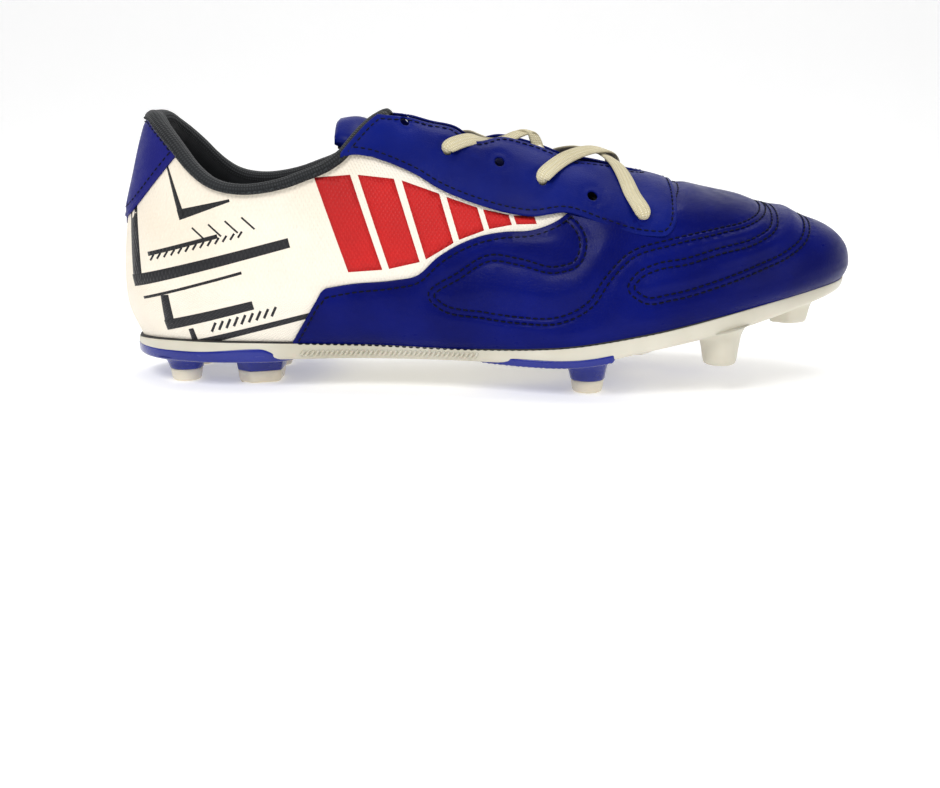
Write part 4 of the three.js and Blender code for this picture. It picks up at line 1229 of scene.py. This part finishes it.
def plate_relief(ring, fork):
    """Rings under the arch, finer waves under the forefoot, and a recess under each overlay."""
    def relief(flat):
        border = foot_outline(PLATE_PROUD)
        edge = nearest(flat, border)
        from_rings = np.hypot(flat[:, 0] - RINGS_CENTRE[0], flat[:, 1] - RINGS_CENTRE[1])
        from_waves = np.hypot(flat[:, 0] - WAVES_CENTRE[0], (flat[:, 1] - WAVES_CENTRE[1]) * 0.8)
        arch = smoothstep(-flat[:, 0], -50, -46)
        fields = smoothstep(flat[:, 0], 60, 64) * smoothstep(52 - 0.4 * (flat[:, 0] - 60) - np.abs(
            flat[:, 1]) * 1.35, 0, 3)
        marks = 0.26 * arch * np.sin(from_rings * 2 * np.pi / 2.3)
        marks += 0.2 * fields * np.sin(from_waves * 2 * np.pi / 2.0 + 1.5 * np.sin(flat[:, 1] / 9))
        marks *= smoothstep(edge, 1.5, 4)
        hidden = np.zeros(len(flat))
        for loop in (ring, fork):
            deep = inside(flat, loop) * smoothstep(nearest(flat, loop), 0.6, 1.4) * smoothstep(edge, 0.8, 2)
            hidden = np.maximum(hidden, deep)
        return marks * (1 - hidden) + 1.5 * hidden
    return relief


CHEVRON = (15, 20, 8)
TOE_STUD = (13, 14, 9)


def chevron(length, width, arm):
    """An arrowhead that points to +X, with rounded corners."""
    corners = [(-length / 2, -width / 2), (-length / 2 + arm, -width / 2), (length / 2, 0),
               (-length / 2 + arm, width / 2), (-length / 2, width / 2), (length / 2 - arm * 1.3, 0)]
    return soften(closed_even(np.array(corners, float), 0.8), 4)


# Studs with a tip of their own: the tip's name, chevron sizes (None for a round one), place, turn in
# degrees, height below the sole, and the overlay that carries it.
TIPPED = [("heel_stud_tip_lateral", None, (-120, -11.5), 0, STUD_HEIGHT, "ring"),
          ("heel_stud_tip_medial", None, (-120, 19.5), 0, STUD_HEIGHT, "ring"),
          ("heel_chevron_tip_lateral", CHEVRON, (-87, -13.5), -38, STUD_HEIGHT, "ring"),
          ("heel_chevron_tip_medial", CHEVRON, (-87, 21.5), 38, STUD_HEIGHT, "ring"),
          ("midfoot_stud_tip_lateral", None, (40, -33), 0, STUD_HEIGHT, "fork"),
          ("midfoot_stud_tip_medial", None, (40, 26.5), 0, STUD_HEIGHT, "fork"),
          ("centre_chevron_tip", CHEVRON, (64, -1), 0, 8.5, "fork")]
TIP_RADIUS = 6.3
# Studs of one piece with the plate: sizes, place, turn and height.
PLATE_STUDS = [(None, (91, -33.5), 0, 12.5), (None, (91, 31), 0, 12.5),
               (TOE_STUD, (122, -15.5), -35, 7), (TOE_STUD, (117, 21.5), 35, 7)]
PLATE_STUD_RADIUS = 6.4


def stud_outline(shape, place, turn, radius):
    flat = chevron(*shape) if shape else radius * circle(40)
    a = math.radians(turn)
    return flat @ np.array([[math.cos(a), math.sin(a)], [-math.sin(a), math.cos(a)]]) + place


def stud_tip(place, height):
    at = place[0]
    return max(0.0, float(sole_height(station(at))) - height)


def stud_body(outline, root, tip, profile, dish):
    """Rings from a root height to a tip height; profile is (share of the way, outward) points."""
    def level(flat, share, sunk=0.0):
        return np.column_stack([flat, root(flat) * (1 - share) + tip * share + sunk])

    rings = [level(inset(outline, -outward), share) for share, outward in profile]
    last = rings[-1][:, :2]
    rings += [level(last.mean(0) + (last - last.mean(0)) * scale, 1, sunk) for scale, sunk in dish]
    quads = grid_faces(len(rings) - 1, len(outline), closed=True)
    points, faces = [np.concatenate(rings)], [quads[:, [0, 1, 2]], quads[:, [0, 2, 3]]]
    for ring, share, sunk, order in ((rings[0], 0, 0, -1), (rings[-1], 1, dish[-1][1] if dish else 0, 1)):
        flat, triangles = fill([ring[:, :2]], 4.0)
        faces.append(triangles[:, ::order] + sum(len(p) for p in points))
        points.append(level(flat, share, sunk))
    points, faces = np.concatenate(points), np.concatenate(faces)
    keep, faces = weld(points, faces)
    return points[keep], faces.tolist()


FLARE = [(0, 6.2), (0.08, 4.6), (0.18, 3.3), (0.32, 2.1), (0.52, 1.3), (0.76, 0.75), (0.96, 0.45), (1, 0.1)]
CAP = [(0, -0.1), (0.06, 0.1), (0.5, -0.15), (0.82, -0.45), (0.93, -0.8), (0.985, -1.3), (1, -1.8)]
PLATE_STUD = [(0, 5.4), (0.06, 3.8), (0.14, 2.5), (0.28, 1.5), (0.5, 0.9), (0.78, 0.3), (0.9, 0),
              (0.96, -0.5), (0.99, -1.1), (1, -1.7)]
ROUND_DISH = [(0.84, 0), (0.78, 0.5), (0.4, 0.55)]


def stud_bases(carrier, drop):
    bodies = []
    for _, shape, place, turn, height, on in TIPPED:
        if on == carrier:
            outline = stud_outline(shape, place, turn, TIP_RADIUS)
            profile = [(share, outward * (0.55 if shape else 1)) for share, outward in FLARE]
            bodies.append(stud_body(outline, lambda flat: sole_at(flat) - drop + 1.2,
                                    stud_tip(place, height) + CAP_HEIGHT, profile, []))
    return bodies


def sole():
    ring, fork, window = ring_loop(), fork_loop(), window_loop()
    lip = rounded_top(0.4) + [(1.9, 0), (2.6, -1.1)]
    plate = slab([foot_outline(PLATE_PROUD)], sole_at, lambda flat: feather_at(flat) + 0.5,
                 rounded(1.6), lip, 0.8, plate_relief(ring, fork))
    studs = [stud_body(stud_outline(shape, place, turn, PLATE_STUD_RADIUS),
                       lambda flat: sole_at(flat) + 0.9, stud_tip(place, height), PLATE_STUD,
                       [] if shape else ROUND_DISH) for shape, place, turn, height in PLATE_STUDS]
    build("outsole_plate", *join([plate, *studs]), SOLE_WHITE, "plate_white")
    heel = slab([ring, window], lambda flat: sole_at(flat) - RING_DROP, ring_top, rounded(1.7),
                rounded_top(0.4), 3.0)
    build("heel_stabiliser", *join([heel, *stud_bases("ring", RING_DROP)]), SOLE_BLUE, "plate_blue")
    blades = slab([fork], lambda flat: sole_at(flat) - FORK_DROP, lambda flat: sole_at(flat) + 2.2,
                  rounded(1.3), rounded_top(0.4), 1.2, fork_ribs)
    build("forefoot_fork", *join([blades, *stud_bases("fork", FORK_DROP)]), SOLE_BLUE, "plate_blue")
    for name, shape, place, turn, height, _ in TIPPED:
        tip = stud_tip(place, height)
        outline = stud_outline(shape, place, turn, TIP_RADIUS)
        cap = stud_body(outline, lambda flat: np.full(len(flat), tip + CAP_HEIGHT), tip, CAP,
                        [] if shape else ROUND_DISH)
        build(name, *cap, TIP_WHITE, "stud_white")
    rope_edge()
    # Painted shade: a thin dark slab along the feather line that stands for the shadow line between the
    # upper and the plate.
    build("painted_shadow_line", *slab([foot_outline(1.5), foot_outline(-4)], lambda flat: feather_at(flat) + 0.2,
                             lambda flat: feather_at(flat) + 1.1, rounded(0.2, 2), rounded_top(0.2, 2)),
          SHADOW_LINE, "lining_black", in_cad=False)
    build("insole_board", *slab([foot_outline(-5)], lambda flat: feather_at(flat) - 0.4,
                                lambda flat: feather_at(flat) + 1, rounded(0.3, 2), rounded_top(0.3, 2)),
          BOARD, "board")
    liner = foot_outline(-5.5)
    points, faces = slab([liner], lambda flat: feather_at(flat) + 1.3, lambda flat: feather_at(flat) + 4.6,
                         rounded(0.6, 2), rounded_top(1.6, 4))
    footbed = build("sockliner", points, faces, INSOLE, "sockliner", "sockliner", uv=points[:, :2])


def fork_ribs(flat):
    """Fine ribs across the blades."""
    return 0.12 * np.sin(flat[:, 0] * 2 * np.pi / 2.2)


def rope_edge():
    """Slanted beads along the plate's edge at the waist, like a laid rope."""
    foot = foot_outline(PLATE_PROUD, 0.8)
    outward = unit(foot - inset(foot, 1.0))
    paths = []
    for side in (-1, 1):
        chosen = np.flatnonzero((foot[:, 0] > -72) & (foot[:, 0] < -2) & (foot[:, 1] * side > 0))
        chosen = chosen[np.argsort(foot[chosen, 0])]
        points = np.column_stack([foot[chosen], sole_at(foot[chosen]) + 2.6])
        paths.append((points, np.column_stack([outward[chosen], np.zeros(len(chosen))])))
    stitches("rope_edge", paths, SOLE_WHITE, "plate_white", 1.9, 3.4, 0.55, math.radians(52))


# ---------------------------------------------------------------- stage, camera and light
def stage():
    depth = np.concatenate([np.linspace(-2.5, 1.0, 8), 1.0 + 0.8 * np.sin(np.linspace(0.1, np.pi / 2, 12)),
                            [1.8, 1.8]])
    height = np.concatenate([np.zeros(8), 0.8 * (1 - np.cos(np.linspace(0.1, np.pi / 2, 12))), [2.0, 4.0]])
    points = [(x, y, z) for y, z in zip(depth, height) for x in (-4, 4)]
    mesh = bpy.data.meshes.new("sweep")
    mesh.from_pydata(points, [], grid_faces(len(depth) - 1, 1)[:, ::-1].tolist())
    mesh.shade_smooth()
    paper = Finish("pale_paper", 0.8, Emission_Color=(1, 1, 1, 1), Emission_Strength=0.35)
    paper.color(paper.blend(paper.noise(3, 2), (0.86, 0.86, 0.86, 1), (0.9, 0.9, 0.9, 1)))
    mesh.materials.append(paper.material)
    sweep = bpy.data.objects.new("sweep", mesh)
    bpy.context.scene.collection.objects.link(sweep)


LENS = 53.2                    # focal length in millimetres
EYE = (-5.6, -560, 125)        # the camera's place in the shoe's own frame
LOOK_DOWN = 13.48              # degrees below level


def area_light(name, place, target, size, power):
    light = bpy.data.lights.new(name, "AREA")
    light.size, light.energy = size, power
    lamp = bpy.data.objects.new(name, light)
    lamp.location = place
    lamp.rotation_euler = (Vector(target) - Vector(place)).to_track_quat("-Z", "Y").to_euler()
    bpy.context.scene.collection.objects.link(lamp)


def studio():
    world = bpy.data.worlds.new("studio")
    world.use_nodes = True
    world.node_tree.nodes["Background"].inputs["Color"].default_value = (1, 1, 1, 1)
    world.node_tree.nodes["Background"].inputs["Strength"].default_value = 0.32
    bpy.context.scene.world = world
    bpy.context.scene.view_settings.view_transform = "Standard"
    centre = (0, 0, 0.05)
    area_light("key", (-0.5, -0.9, 1.1), centre, 0.6, 11)
    area_light("fill", (1.0, -0.8, 0.5), centre, 0.8, 3)
    area_light("top", (0.1, 0.3, 1.3), centre, 0.6, 6)
    camera = bpy.data.cameras.new("camera")
    camera.lens, camera.sensor_width = LENS, 36
    eye = bpy.data.objects.new("camera", camera)
    eye.location = ((np.array(EYE) + SHIFT) * MM).tolist()
    eye.rotation_euler = (math.radians(90 - LOOK_DOWN), 0, 0)
    bpy.context.scene.collection.objects.link(eye)
    bpy.context.scene.camera = eye


# ---------------------------------------------------------------- assembly
vamp()
quarter("lateral")
quarter("medial")
eyestay()
heel_tab()
linings()
red_band()
heel_print()
collar()
tongue()
lace()
sole()
stage()
studio()
